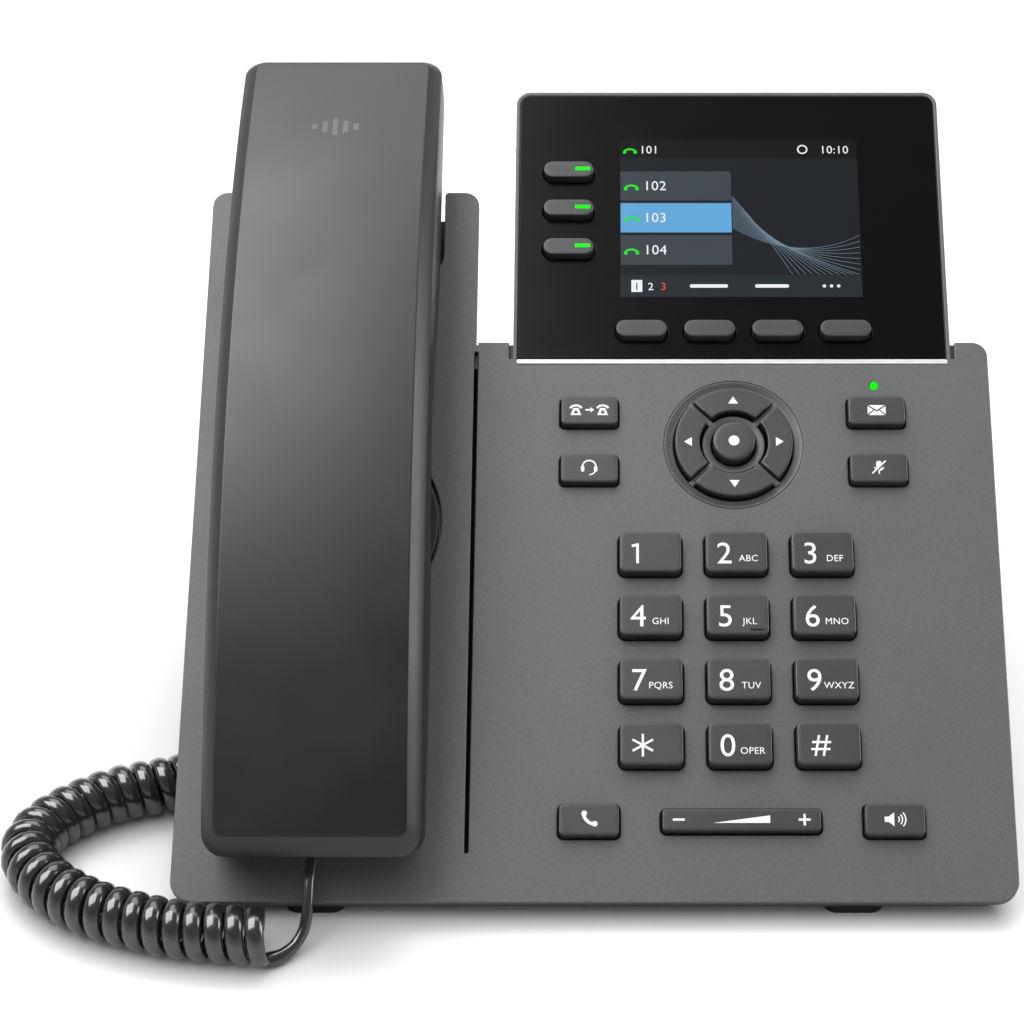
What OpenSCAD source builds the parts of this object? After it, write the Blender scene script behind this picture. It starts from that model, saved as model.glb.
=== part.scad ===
// Desk IP phone. X runs to the right, Y to the back and Z up, in millimetres.
// Most pieces are drawn in the face frame: x across, y up the slope, z out of the face.

/* [Face plate] */
// Angle of the face above the table
tilt = 34; // [32:1:36]
// Width of the face plate
plate_w = 184; // [182:1:188]
// Length of the keypad side up the slope
plate_len = 135; // [134:0.5:136]
// Length of the handset side up the slope
cradle_len = 175.3; // [174:0.1:178]
// Thickness of the face plate
plate_t = 2.5; // [2.4:0.1:2.6]
// Height of the plate's front edge above the table
front_z = 6; // [6:0.5:7]
// Y of the plate's front edge, which centres the phone on the origin
front_y = -86.2; // [-88:0.1:-84]

/* [Display] */
// Centre of the display head across the phone
head_x = 32; // [31:0.5:33]
// Width of the display head
head_w = 102.7; // [102:0.1:104]
// Length of the face up to the top of the display head
head_len = 203.4; // [203:0.1:205]
// Centre of the screen across the phone
screen_x = 34.6; // [34:0.1:35]
// Centre of the screen up the slope
screen_v = 168.4; // [168:0.1:169]
// Width of the visible screen
screen_w = 57.4; // [56:0.1:58]
// Height of the visible screen
screen_h = 43; // [42:0.1:44]

/* [Keys] */
// Height of the dial keys above the face
key_rise = 2.9; // [2.4:0.1:3.2]
// How far a key travels when pressed
key_travel = 1.2; // [1:0.1:1.2]
// Gap between a key and the edge of its hole
key_gap = 0.25; // [0.2:0.05:0.35]
// Spacing of the dial key columns
dial_dx = 19.5; // [19:0.1:20]
// Spacing of the dial key rows
dial_dv = 15.2; // [15:0.1:15.6]

/* [Handset] */
// Centre of the handset across the phone
hs_x = -60; // [-60.5:0.1:-59.5]
// Width of the handset
hs_w = 46.8; // [46:0.1:47]
// Start of the handset up the slope
hs_v0 = 8; // [8:0.5:9]
// End of the handset up the slope
hs_v1 = 202; // [200:0.5:203]
// Height of the handset's arched face above the plate at its crown
hs_crown = 35.7; // [34:0.1:37]
// Radius of the arched face
hs_radius = 290; // [270:5:320]

/* [Cord] */
// Outer diameter of the curly cord
coil_d = 12.9; // [12.5:0.1:13]
// Diameter of the cord's straight stretches
cord_d = 3.2; // [3:0.1:3.4]

/* [Hidden] */
$fn = 48;
eps = 0.02;

plate_grey = "#6c6e6f";
case_black = "#1d1e20";
key_grey = "#55575a";

cradle_x0 = -plate_w / 2;
cradle_w = 64;
cradle_x1 = cradle_x0 + cradle_w;
notch_w = 47.6;
notch_v = 152.5;
groove_w = 0.9;
groove_v0 = 11;
head_x0 = head_x - head_w / 2;
root_slot_w = 0.95;
root_slot_len = 4.3;
lens_w = 100.8;
lens_v0 = 130.5;
lens_v1 = 202.3;
lens_t = 1.8;
strip_v0 = 129.3;
shell_deep = 15;
head_deep = 12.5;
housing_deep = 27;
wall = 2;
rim_inset = 3;
foot_z = 3;
grille_v = 89;
grille_r = 24.2;
grille_hole_r = 24.9;

// Places of the keys in the face frame
dial_x = 12.5;
dial_v = 80.7;
dial_size = [14.1, 9.9];
dial_corner = 1.4;
line_x = -6.5;
line_v = 180.4;
line_dv = 10.5;
pill_size = [12, 4.4];
pill_corner = 2.1;
pill_rise = 2.4;
soft_x = 10.8;
soft_dx = 16;
soft_v = 137.6;
nav_v = 108.6;
nav_ring_r = 16.1;
nav_hole_r = 13.9;
arrow_r0 = 7.9;
arrow_r1 = 13.6;
arrow_gap = 1;
nav_recess = 0.7;
nav_slope = 1.5;
spider_r0 = 5.3;
spider_r1 = 7.3;
spoke_w = 1;
ok_r = 4.85;
ok_flange_r = 6.6;
side_size = [13.2, 7.2];
side_left_x = -1.4;
side_right_x = 65.2;
side_v_high = 116.4;
side_v_low = 101.8;
bottom_v = 18;
send_x = -1.3;
speaker_x = 65.4;
volume_size = [34.7, 5];
lamp_x = 65;
lamp_v = 123.6;

// Heights below the face of what lies under the plate
flange_top = 2.6;
flange_bottom = 3.6;
stem_bottom = 3.9;
mat_top = 5.3;
mat_bottom = 6.3;
board_bottom = 7.9;

// World place of a point in the face frame
function world_y(v, h) = front_y + v * cos(tilt) - h * sin(tilt);
function world_z(v, h) = front_z + v * sin(tilt) + h * cos(tilt);
// Height, in the face frame, of the level plane at world height z
function level_h(v, z) = (z - front_z - v * sin(tilt)) / cos(tilt);

module on_face() { translate([0, front_y, front_z]) rotate([tilt, 0, 0]) children(); }

module rounded(size, r) {
    square([size[0] - 2 * r, size[1]], center = true);
    square([size[0], size[1] - 2 * r], center = true);
    for (sx = [-1, 1], sy = [-1, 1])
        translate([sx * (size[0] / 2 - r), sy * (size[1] / 2 - r)]) circle(r);
}

module rounded_span(x0, x1, v0, v1, r) {
    translate([(x0 + x1) / 2, (v0 + v1) / 2]) rounded([x1 - x0, v1 - v0], r);
}

module slab(h0, h1) { translate([0, 0, h0]) linear_extrude(h1 - h0) children(); }

// A profile given as [up the slope, height] points, extruded from x0 to x1
module side_profile(x0, x1, points) {
    translate([x0, 0, 0]) rotate([90, 0, 90]) linear_extrude(x1 - x0) polygon(points);
}

module box_span(x0, x1, v0, v1, h0, h1) { translate([x0, v0, h0]) cube([x1 - x0, v1 - v0, h1 - h0]); }

// ---- Face plate ----

module plate_outline() {
    rounded_span(cradle_x0, plate_w / 2, 0, plate_len, 5);
    rounded_span(cradle_x0, cradle_x1, 0, cradle_len, 3.5);
    rounded_span(head_x0, head_x0 + head_w, plate_len - 30, head_len, 3.5);
}

module key_hole(at, size, r, gap = key_gap) {
    translate(at) rounded([size[0] + 2 * gap, size[1] + 2 * gap], r + gap);
}

module plate_cuts() {
    rounded_span(hs_x - notch_w / 2, hs_x + notch_w / 2, notch_v, cradle_len + 12, 6);
    translate([hs_x, grille_v]) circle(grille_hole_r);
    for (side = [-1, 1])
        translate([head_x + side * (head_w + root_slot_w) / 2, plate_len - root_slot_len / 2])
            square([root_slot_w, root_slot_len + eps], center = true);
    for (col = [0:2], row = [0:3])
        key_hole([dial_x + col * dial_dx, dial_v - row * dial_dv], dial_size, dial_corner);
    for (at = [[side_left_x, side_v_high], [side_left_x, side_v_low], [side_right_x, side_v_high],
            [side_right_x, side_v_low], [send_x, bottom_v], [speaker_x, bottom_v]])
        key_hole(at, side_size, 0.9);
    key_hole([head_x, bottom_v], volume_size, 0.9, 0.5);
    translate([head_x, nav_v]) circle(nav_hole_r);
    translate([lamp_x, lamp_v]) circle(1);
    translate([screen_x, screen_v]) square([screen_w + 2, screen_h + 2], center = true);
    for (i = [0:2]) key_hole([line_x, line_v - i * line_dv], pill_size, pill_corner);
    for (i = [0:3]) key_hole([soft_x + i * soft_dx, soft_v], pill_size, pill_corner);
    translate([hs_x, hook_v]) circle(hook_hole_r);
}

module nav_spider() {
    translate([head_x, nav_v, 0]) slab(-2.3, -0.2) difference() {
        union() {
            circle(spider_r1);
            for (a = [45:90:315]) rotate(a) translate([spider_r0 + 0.5, -spoke_w / 2])
                square([nav_hole_r - spider_r0, spoke_w]);
        }
        circle(spider_r0);
    }
}

boss_r = 3;
boss_depth = shell_deep - wall;
boss_places = [[-84, 34], [-84, 140], [-38, 140], [84, 34], [84, 120]];

module top_cover() {
    color(plate_grey) on_face() {
        difference() {
            union() {
                slab(-plate_t, 0) difference() {
                    plate_outline();
                    plate_cuts();
                }
                // pocket for the mouthpiece
                box_span(-81.5, -38.5, 17, 53, -6.5, -plate_t + eps);
            }
            box_span(-80, -40, 18.5, 51.5, -5, 1);
            slab(-0.8, 1) translate([cradle_x1, (groove_v0 + plate_len) / 2])
                square([groove_w, plate_len - groove_v0 + eps], center = true);
            slab(-lens_t, 1) lens_outline(strip_v0, lens_w / 2, 2.6);
            // sloping rim around the navigation keys
            translate([head_x, nav_v, -nav_recess])
                cylinder(r1 = nav_ring_r - nav_slope, r2 = nav_ring_r, h = nav_recess, $fn = 96);
        }
        nav_spider();
        for (at = boss_places) translate([at[0], at[1], -boss_depth]) difference() {
            cylinder(r = boss_r, h = boss_depth - plate_t + eps);
            translate([0, 0, -1]) cylinder(r = screw_r, h = 9);
        }
    }
}

// The display's outline from v0 up, with round corners at the top only
module lens_outline(v0, half_w, r) {
    translate([head_x, 0]) {
        translate([-half_w, v0]) square([2 * half_w, lens_v1 - v0 - r]);
        for (side = [-1, 1]) translate([side * (half_w - r), lens_v1 - r]) circle(r);
        translate([r - half_w, v0]) square([2 * (half_w - r), lens_v1 - v0]);
    }
}

module display_lens() {
    color("#141517") on_face() slab(-lens_t, 0.1) difference() {
        lens_outline(lens_v0, lens_w / 2 - 0.1, 2.5);
        for (i = [0:2]) key_hole([line_x, line_v - i * line_dv], pill_size, pill_corner);
        for (i = [0:3]) key_hole([soft_x + i * soft_dx, soft_v], pill_size, pill_corner);
    }
}

module accent_strip() {
    color("#d8dadb") on_face()
        box_span(head_x - lens_w / 2 + 0.1, head_x + lens_w / 2 - 0.1, strip_v0 + 0.1, lens_v0, -lens_t, 0.1);
}

module lcd_panel() {
    color("#26303a") on_face() translate([screen_x, screen_v, 0]) {
        slab(-5.8, -plate_t) rounded([screen_w + 7, screen_h + 6], 1);
        slab(-plate_t, -lens_t) square([screen_w + 1.6, screen_h + 1.6], center = true);
    }
}

module message_lamp() {
    color("#35d04a") on_face() translate([lamp_x, lamp_v, -mat_top]) {
        cylinder(r = 0.95, h = mat_top + 0.2);
        cylinder(r = 1.8, h = 1.2);
    }
}

// ---- Lower casing ----

// World height of the plane that lies h off the face, at y behind the plate's front edge
function plane_z(y, h) = front_z + y * tan(tilt) + h / cos(tilt);
// Place up the slope where the level base meets the sloping floor
function corner_v(depth, base_z) = (base_z - front_z + depth * cos(tilt)) / sin(tilt);

shell_x = plate_w / 2 - rim_inset;
shell_v0 = 1.5;
shell_v1 = plate_len - rim_inset;
shell_cradle_v1 = cradle_len - rim_inset;
head_shell_x0 = head_x0 + rim_inset;
head_shell_x1 = head_x0 + head_w - rim_inset;
tray_h = 9;

module slab_casing(inset, top) {
    depth = shell_deep - inset;
    base_z = foot_z + inset;
    intersection() {
        side_profile(-plate_w, plate_w, [[-1, top], [-1, level_h(-1, base_z)],
            [corner_v(depth, base_z), -depth], [head_len, -depth], [head_len, top]]);
        slab(-housing_deep, top + 1) {
            polygon([[-shell_x + inset, shell_v0 + inset], [shell_x - inset, shell_v0 + inset],
                [shell_x - inset, shell_v1 - inset], [cradle_x1 - rim_inset - inset, shell_v1 - inset],
                [cradle_x1 - rim_inset - inset, shell_cradle_v1 - inset],
                [-shell_x + inset, shell_cradle_v1 - inset]]);
        }
    }
}

module head_casing(inset, top) {
    box_span(head_shell_x0 + inset, head_shell_x1 - inset, shell_v1 - 10, head_len - rim_inset - inset,
        -head_deep + inset, top);
}

// The rear housing is square with the table, so its rear wall is upright
housing_x0 = -16;
housing_x1 = 66;
housing_y0 = 71.5;
housing_y1 = 138;
housing_step_y = 123;
rear_y = front_y + housing_y1;
port_z = 72;
module housing(inset) {
    y0 = housing_y0 + inset;
    y1 = housing_y1 - inset;
    translate([housing_x0 + inset, front_y, 0]) rotate([90, 0, 90])
        linear_extrude(housing_x1 - housing_x0 - 2 * inset)
            polygon([[y0, plane_z(y0, -housing_deep + inset)],
                [housing_step_y, plane_z(housing_step_y, -housing_deep + inset)],
                [y1, plane_z(housing_step_y, -housing_deep + inset)],
                [y1, plane_z(y1, -9)], [y0, plane_z(y0, -9)]]);
}

module shell_body() {
    on_face() {
        slab_casing(0, -plate_t);
        head_casing(0, -plate_t);
    }
    housing(0);
}

module shell_hollow() {
    on_face() {
        slab_casing(wall, 1);
        head_casing(wall, 1);
    }
    housing(wall);
}

module notch_tray() {
    on_face() box_span(hs_x - notch_w / 2 - wall, hs_x + notch_w / 2 + wall, notch_v - wall,
        shell_cradle_v1 - 1, -tray_h - wall, -plate_t);
}

module notch_space() {
    on_face() box_span(hs_x - notch_w / 2, hs_x + notch_w / 2, notch_v, shell_cradle_v1 + 5, -tray_h, 5);
}

network_x = [10, 31];
network_hole = [11.8, 13, 8.2];
headset_x = 52;
power_x = -7;
headset_hole = [7.8, 11, 6.8];
power_r = 3;
handset_port_v = 95;
handset_port_h = -20.5;
plug_size = [12, 7.6, 6.4];

module port_openings() {
    translate([network_x[0] - 8.2, rear_y - 4, port_z - 7])
        cube([network_x[1] - network_x[0] + 16.4, 8, 14]);
    translate([headset_x - 5.7, rear_y - 4, port_z - 5.2]) cube([11.4, 8, 10.4]);
    translate([power_x - 5, rear_y - 4, port_z - 5.5]) cube([10, 8, 11]);
    on_face() translate([housing_x0 - 1, handset_port_v - 5.2, handset_port_h - 4.7]) cube([6, 10.4, 9.4]);
}

module grille_slots() {
    on_face() for (i = [-3:3]) box_span(-78, -62, 84 + i * 5, 86.5 + i * 5, -shell_deep - 1, -boss_depth + 1);
}

module bottom_shell() {
    color(case_black) difference() {
        union() {
            difference() {
                shell_body();
                shell_hollow();
            }
            intersection() {
                notch_tray();
                shell_body();
            }
        }
        notch_space();
        port_openings();
        grille_slots();
        on_face() for (at = boss_places) translate([at[0], at[1], -shell_deep - 1]) {
            cylinder(r = screw_r, h = 5);
            cylinder(r = 2.7, h = 2);
        }
    }
}

screw_r = 1.2;
module case_screws() {
    color("#8a8c8e") on_face() for (at = boss_places) translate([at[0], at[1], -shell_deep + 0.1]) {
        cylinder(r = 2.4, h = 0.9);
        cylinder(r = screw_r, h = 8);
    }
}

// ---- Stand and feet ----

stand_x = 76;
stand_leg_w = 16;
stand_foot_y = 147;
stand_foot_w = 14;

module stand_leg(x) {
    translate([x - stand_leg_w / 2, front_y, 0]) rotate([90, 0, 90]) linear_extrude(stand_leg_w) polygon([
        [88, plane_z(88, -shell_deep)], [97, 43], [133, 13], [stand_foot_y - stand_foot_w / 2, foot_z],
        [stand_foot_y + stand_foot_w / 2, foot_z], [150, 20], [122, 60], [114, plane_z(114, -shell_deep)]]);
}

module desk_stand() {
    color(case_black) {
        for (side = [-1, 1]) stand_leg(side * stand_x);
        translate([-stand_x, front_y + stand_foot_y - stand_foot_w / 2, foot_z])
            cube([2 * stand_x, stand_foot_w, 7]);
    }
}

module rubber_feet() {
    color("#101112") {
        for (x = [-61, 56.5]) translate([x, front_y + 9.5, 0]) slab(0, foot_z) rounded([13, 12], 3);
        for (side = [-1, 1]) translate([side * (stand_x - 4), front_y + stand_foot_y, 0])
            slab(0, foot_z) rounded([20, 10], 3);
    }
}

// ---- Inside the base ----

module main_board() {
    color("#1d6b3a") on_face() slab(-board_bottom, -mat_bottom) {
        rounded_span(-24, 79, 13, 128, 2);
        rounded_span(-13.5, 77.5, 110, 197, 2);
    }
}

module key_mat() {
    color("#4a4d52") on_face() {
        slab(-mat_bottom, -mat_top) difference() {
            union() {
                rounded_span(-22, 77, 13.5, 126, 2);
                rounded_span(3, 66, 133, 140.5, 2);
                rounded_span(-13.5, 1.3, 138, 185, 2);
                rounded_span(-13.5, 4.5, 120, 143, 2);
            }
            translate([lamp_x, lamp_v]) circle(2);
        }
    }
}

module speaker_grille() {
    color("#101112") on_face() slab(-2.2, -0.2) translate([hs_x, grille_v]) difference() {
        circle(grille_r);
        for (ring = [1:4], i = [0:ring * 6 - 1]) rotate(i * 60 / ring) translate([ring * 5, 0]) circle(1.1, $fn = 16);
    }
}

module loudspeaker() {
    color("#3a3c40") on_face() translate([hs_x, grille_v, 0]) rotate_extrude($fn = 64)
        polygon([[0, -11.5], [11, -11.5], [11, -8], [19, -6], [25, -5.2], [27, -5.2], [27, -2.6],
            [23, -2.6], [10, -5.5], [0, -5]]);
}

module network_ports() {
    color("#c3c6c9") difference() {
        translate([network_x[0] - 7.9, rear_y - 16, port_z - 6.7])
            cube([network_x[1] - network_x[0] + 15.8, 16.2, 13.4]);
        for (x = network_x) {
            translate([x - network_hole[0] / 2, rear_y - network_hole[1], port_z - 4.4])
                cube([network_hole[0], network_hole[1] + 1, network_hole[2]]);
            translate([x - 3, rear_y - network_hole[1], port_z + 3]) cube([6, network_hole[1] + 1, 2.6]);
        }
    }
}

module headset_port() {
    color("#17181a") difference() {
        translate([headset_x - 5.4, rear_y - 14, port_z - 4.9]) cube([10.8, 14.2, 9.8]);
        translate([headset_x - headset_hole[0] / 2, rear_y - headset_hole[1], port_z - 3.4])
            cube([headset_hole[0], headset_hole[1] + 1, headset_hole[2]]);
    }
}

module power_port() {
    color("#17181a") translate([power_x, 0, port_z]) {
        difference() {
            translate([-4.7, rear_y - 13, -5.2]) cube([9.4, 13.2, 10.4]);
            translate([0, rear_y - 10, 0]) rotate([-90, 0, 0]) cylinder(r = power_r, h = 12);
        }
        translate([0, rear_y - 10.5, 0]) rotate([-90, 0, 0]) cylinder(r = 0.7, h = 9);
    }
}

module handset_port() {
    color("#17181a") on_face() translate([housing_x0, handset_port_v, handset_port_h]) difference() {
        translate([0, -4.9, -4.4]) cube([14, 9.8, 8.8]);
        translate([-1, -plug_size[1] / 2 - 0.2, -plug_size[2] / 2 - 0.2])
            cube([12.2, plug_size[1] + 0.4, plug_size[2] + 0.4]);
    }
}

// ---- Hook switch ----

hook_v = 142;
hook_hole_r = 3.4;
hook_travel = 3.5;

module hook_plunger() {
    color("#17181a") on_face() translate([hs_x, hook_v, 0]) {
        translate([0, 0, -7.5]) cylinder(r = 3, h = 8.3);
        translate([0, 0, -7.5]) cylinder(r = 4.2, h = 1.2);
    }
}

// ---- Keys ----

module key(at, size, r, rise) {
    color(key_grey) on_face() translate([at[0], at[1], 0]) {
        slab(-stem_bottom, rise) rounded(size, r);
        slab(-flange_bottom, -flange_top) rounded([size[0] + 1.6, size[1] + 1.4], r + 0.6);
    }
}

module dial_key(col, row) {
    key([dial_x + col * dial_dx, dial_v - row * dial_dv], dial_size, dial_corner, key_rise);
}
module line_key(i) { key([line_x, line_v - i * line_dv], pill_size, pill_corner, pill_rise); }
module soft_key(i) { key([soft_x + i * soft_dx, soft_v], pill_size, pill_corner, pill_rise); }
module side_key(x, v) { key([x, v], side_size, 0.9, 2.2); }

module arrow_key(turn) {
    color(key_grey) on_face() translate([head_x, nav_v, 0]) rotate([0, 0, turn]) {
        slab(-stem_bottom, 1.6) arrow_shape(arrow_r1);
        slab(-flange_bottom, -flange_top) arrow_shape(arrow_r1 + 1);
    }
}
module arrow_shape(outer) {
    intersection() {
        difference() {
            circle(outer);
            circle(arrow_r0);
        }
        polygon([[0, arrow_gap], [20, 20 + arrow_gap], [-20, 20 + arrow_gap]]);
    }
}

module ok_key() {
    color(key_grey) on_face() translate([head_x, nav_v, 0]) rotate_extrude($fn = 64)
        polygon([[0, -stem_bottom], [ok_r, -stem_bottom], [ok_r, -flange_bottom],
            [ok_flange_r, -flange_bottom], [ok_flange_r, -flange_top], [ok_r, -flange_top], [ok_r, 2.2],
            [0, 2.2]]);
}

volume_pivot_h = -3;
volume_pin_r = 0.45;
volume_pin_len = 7;
module volume_key() {
    color(key_grey) on_face() translate([head_x, bottom_v, 0]) {
        translate([0, volume_pin_len / 2, volume_pivot_h]) rotate([90, 0, 0])
            cylinder(r = volume_pin_r, h = volume_pin_len);
        slab(-4.3, 2) rounded(volume_size, 0.9);
        slab(-4.3, -3.5) rounded([volume_size[0] + 2, volume_size[1] + 1.6], 1.2);
    }
}

// ---- Handset ----

hs_mid_v = 105;
hs_shoulder = 3.2;
hs_part_drop = 9;
function crown_h(v) = hs_crown - hs_radius + sqrt(pow(hs_radius, 2) - pow(v - hs_mid_v, 2));
// The underside: level at both ends with an arch for the fingers between them
function arch(v) = v < 62 || v > 146 ? 0 : 0.5 - 0.5 * cos((v - 62) / 84 * 360);
function under_h(v) = 3 + 12 * pow(arch(v), 0.6);
// Half width, with rounded corners at both ends
function end_gap(v) = min(v - hs_v0, hs_v1 - v);
hs_corner = 3.9;
function half_w(v) = hs_w / 2 - (end_gap(v) >= hs_corner ? 0
    : hs_corner - sqrt(pow(hs_corner, 2) - pow(hs_corner - end_gap(v), 2)));
function part_h(v) = max(under_h(v) + 2.6, crown_h(v) - hs_shoulder - hs_part_drop);
// The face is cut back at both ends
function end_drop(v) = max(0, 2.6 - end_gap(v)) * 1.1;
function top_h(v) = crown_h(v) - end_drop(v);

hs_stations = concat([for (i = [0:4]) hs_v0 + hs_corner * (1 - cos(i * 22.5))],
    [for (v = [18:8:194]) v], [for (i = [4:-1:0]) hs_v1 - hs_corner * (1 - cos(i * 22.5))]);

// One closed skin through a six-point section at each station
module loft(stations, section) {
    n = 6;
    count = len(stations);
    points = [for (v = stations) for (p = section(v)) [hs_x + p[0], v, p[1]]];
    faces = concat([[for (i = [0:n - 1]) i]],
        [for (s = [0:count - 2], i = [0:n - 1])
            [s * n + i, (s + 1) * n + i, (s + 1) * n + (i + 1) % n, s * n + (i + 1) % n]],
        [[for (i = [n - 1:-1:0]) (count - 1) * n + i]]);
    polyhedron(points, faces, convexity = 6);
}

cover_section = function(v) let (w = half_w(v), t = top_h(v), p = part_h(v), c = min(3, w - 1))
    [[-w, p], [-w, t - hs_shoulder], [-w + c, t], [w - c, t], [w, t - hs_shoulder], [w, p]];
back_section = function(v) let (w = half_w(v), u = under_h(v), p = part_h(v) - 0.05, c = 2)
    [[-w + c, u], [-w, u + 2.2], [-w, p], [w, p], [w, u + 2.2], [w - c, u]];
hollow_section = function(v) let (w = hs_w / 2 - 2.2, t = crown_h(v) - 2.2, p = part_h(v))
    [[-w, p - 0.5], [-w, t - hs_shoulder], [-w + 2, t], [w - 2, t], [w, t - hs_shoulder], [w, p - 0.5]];
back_hollow_section = function(v) let (w = hs_w / 2 - 2.4, u = under_h(v) + 2, p = part_h(v))
    [[-w + 1.6, u], [-w, u + 1.6], [-w, p + 0.5], [w, p + 0.5], [w, u + 1.6], [w - 1.6, u]];
hollow_stations = [for (v = [12:8:196]) v];

module handset_cover() {
    color("#5c5e60") on_face() difference() {
        loft(hs_stations, cover_section);
        loft(hollow_stations, hollow_section);
    }
}

ear_v = 172;
mouth_v = 35;
module handset_back() {
    color("#4c4e50") on_face() difference() {
        union() {
            loft(hs_stations, back_section);
            translate([hs_x, ear_v, 0]) slab(-6.5, 4) rounded([36, 30], 6);
            translate([hs_x, mouth_v, 0]) slab(-4, 4) rounded([34, 26], 6);
        }
        loft(hollow_stations, back_hollow_section);
        translate([hs_x, ear_v, -4.5]) cylinder(r = 13.4, h = 20);
        translate([hs_x, mouth_v, -2]) cylinder(r = 4, h = 12);
        for (i = [0:5]) rotate([0, 0, 0]) translate([hs_x, ear_v, -8]) rotate([0, 0, i * 60])
            translate([6, 0, 0]) cylinder(r = 1.2, h = 6, $fn = 16);
        box_span(hs_x - 4, hs_x + 4, mouth_v - 1, mouth_v + 1, -6, 0);
        // slot for the plug and the cord, open below
        box_span(hs_x - 4.2, hs_x + 4.2, hs_v0 - 1, 24.5, -1, 7.8);
        for (v = [62, 150]) translate([hs_x, v, under_h(v) - 1]) cylinder(r = 2.6, h = 2);
        for (v = [62, 150]) translate([hs_x, v, under_h(v) - 1]) cylinder(r = 1.2, h = 10);
    }
}

module ear_speaker() {
    color("#2b2d30") on_face() translate([hs_x, ear_v, -4.4]) {
        cylinder(r = 13.2, h = 4);
        cylinder(r = 8, h = 6.5);
    }
}

module mic_capsule() { color("#b8bbbd") on_face() translate([hs_x, mouth_v, -1.9]) cylinder(r = 3.6, h = 4.5); }

module handset_weight() {
    color("#7d8083") on_face() box_span(hs_x - 13, hs_x + 13, 84, 126, 19, 24);
}

module handset_screws() {
    color("#8a8c8e") on_face() for (v = [62, 150]) translate([hs_x, v, under_h(v) + 0.1]) {
        cylinder(r = 2.3, h = 0.8);
        cylinder(r = 1.1, h = 6);
    }
}

plug_v = 12.3;
module handset_plug() {
    color("#2b2d30") on_face() box_span(hs_x - 3.8, hs_x + 3.8, plug_v, 24.3, 1.2, 7.6);
}

// ---- Cord ----

// The curly cord's centre line on the table, from the handset end to the base end
coil_route = [[-70, -97.5], [-84, -96], [-95, -93.5], [-108, -88.5], [-118, -81.5], [-124, -73],
    [-124.5, -65], [-119, -57], [-109, -50], [-97, -46], [-84, -42], [-70, -38.5], [-56, -36.5],
    [-42, -34.5], [-28, -31], [-18, -23.5], [-16, -13], [-22, -3], [-33, 3.5], [-45, 6], [-57, 6.5]];
// The straight lead from the handset's end over the plate's edge to the coil
lead_route = [[-60.5, -79.3, 16.9], [-60.8, -82, 15], [-61.2, -86, 12.6], [-61.3, -89, 10.2],
    [-61.5, -91.5, 7.8], [-62, -93.5, 5.4], [-63.2, -95.5, 3.6], [-65, -97.5, 2.5], [-67, -99, 2],
    [-69, -100.2, 1.9]];
// The straight tail from the coil up to the jack under the rear housing
tail_route = [[-58, 10.5, 4], [-62, 10.5, 4], [-66, 10, 6], [-69, 9, 10], [-70, 7.5, 17],
    [-69, 6, 25], [-65, 5, 32], [-58, 4.4, 37.8], [-49, 4.2, 40.9], [-40, 4.1, 42], [-30, 4.1, 42.1]];

function unit(p) = p / norm(p);
function at_end(route, i) = route[max(0, min(len(route) - 1, i))];
function heading(route, i) = unit(at_end(route, i + 1) - at_end(route, i - 1));

module tube(route, r, sides) {
    rings = len(route);
    points = [for (i = [0:rings - 1])
        let (t = heading(route, i), side = unit(cross(t, [0.02, 0.05, 1])), up = cross(side, t))
        for (k = [0:sides - 1]) route[i] + r * (cos(k * 360 / sides) * side + sin(k * 360 / sides) * up)];
    faces = concat([[for (k = [sides - 1:-1:0]) k]],
        [for (i = [0:rings - 2], k = [0:sides - 1])
            [i * sides + k, i * sides + (k + 1) % sides, (i + 1) * sides + (k + 1) % sides]],
        [for (i = [0:rings - 2], k = [0:sides - 1])
            [i * sides + k, (i + 1) * sides + (k + 1) % sides, (i + 1) * sides + k]],
        [[for (k = [0:sides - 1]) (rings - 1) * sides + k]]);
    polyhedron(points, faces, convexity = 8);
}

module cord_coil() {
    color("#2c2e31") tube([for (p = coil_route) [p[0], p[1], coil_d / 2]], coil_d / 2, 12);
}
module cord_lead() { color("#2c2e31") tube(lead_route, cord_d / 2, 8); }
module cord_tail() { color("#2c2e31") tube(tail_route, cord_d / 2, 8); }

module base_plug() {
    color("#2b2d30") on_face() translate([housing_x0 - 1, handset_port_v, handset_port_h])
        translate([0, -plug_size[1] / 2, -plug_size[2] / 2]) {
            cube([plug_size[0], plug_size[1], plug_size[2]]);
            translate([-12, 1.2, 1]) cube([12 + eps, 5.2, 4.4]);
        }
}

top_cover();
bottom_shell();
desk_stand();
rubber_feet();
display_lens();
lcd_panel();
accent_strip();
main_board();
key_mat();
speaker_grille();
loudspeaker();
handset_port();
network_ports();
headset_port();
power_port();
case_screws();
message_lamp();
handset_cover();
handset_back();
ear_speaker();
mic_capsule();
handset_weight();
handset_screws();
handset_plug();
hook_plunger();
dial_key(0, 0);  // key_1
dial_key(1, 0);  // key_2
dial_key(2, 0);  // key_3
dial_key(0, 1);  // key_4
dial_key(1, 1);  // key_5
dial_key(2, 1);  // key_6
dial_key(0, 2);  // key_7
dial_key(1, 2);  // key_8
dial_key(2, 2);  // key_9
dial_key(0, 3);  // key_star
dial_key(1, 3);  // key_0
dial_key(2, 3);  // key_hash
line_key(0);  // line_key_1
line_key(1);  // line_key_2
line_key(2);  // line_key_3
soft_key(0);  // soft_key_1
soft_key(1);  // soft_key_2
soft_key(2);  // soft_key_3
soft_key(3);  // soft_key_4
arrow_key(0);  // arrow_up
arrow_key(90);  // arrow_left
arrow_key(180);  // arrow_down
arrow_key(270);  // arrow_right
ok_key();
side_key(side_left_x, side_v_high);  // transfer_key
side_key(side_left_x, side_v_low);  // headset_key
side_key(side_right_x, side_v_high);  // message_key
side_key(side_right_x, side_v_low);  // mute_key
side_key(send_x, bottom_v);  // send_key
side_key(speaker_x, bottom_v);  // speaker_key
volume_key();
cord_coil();
cord_lead();
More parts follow.
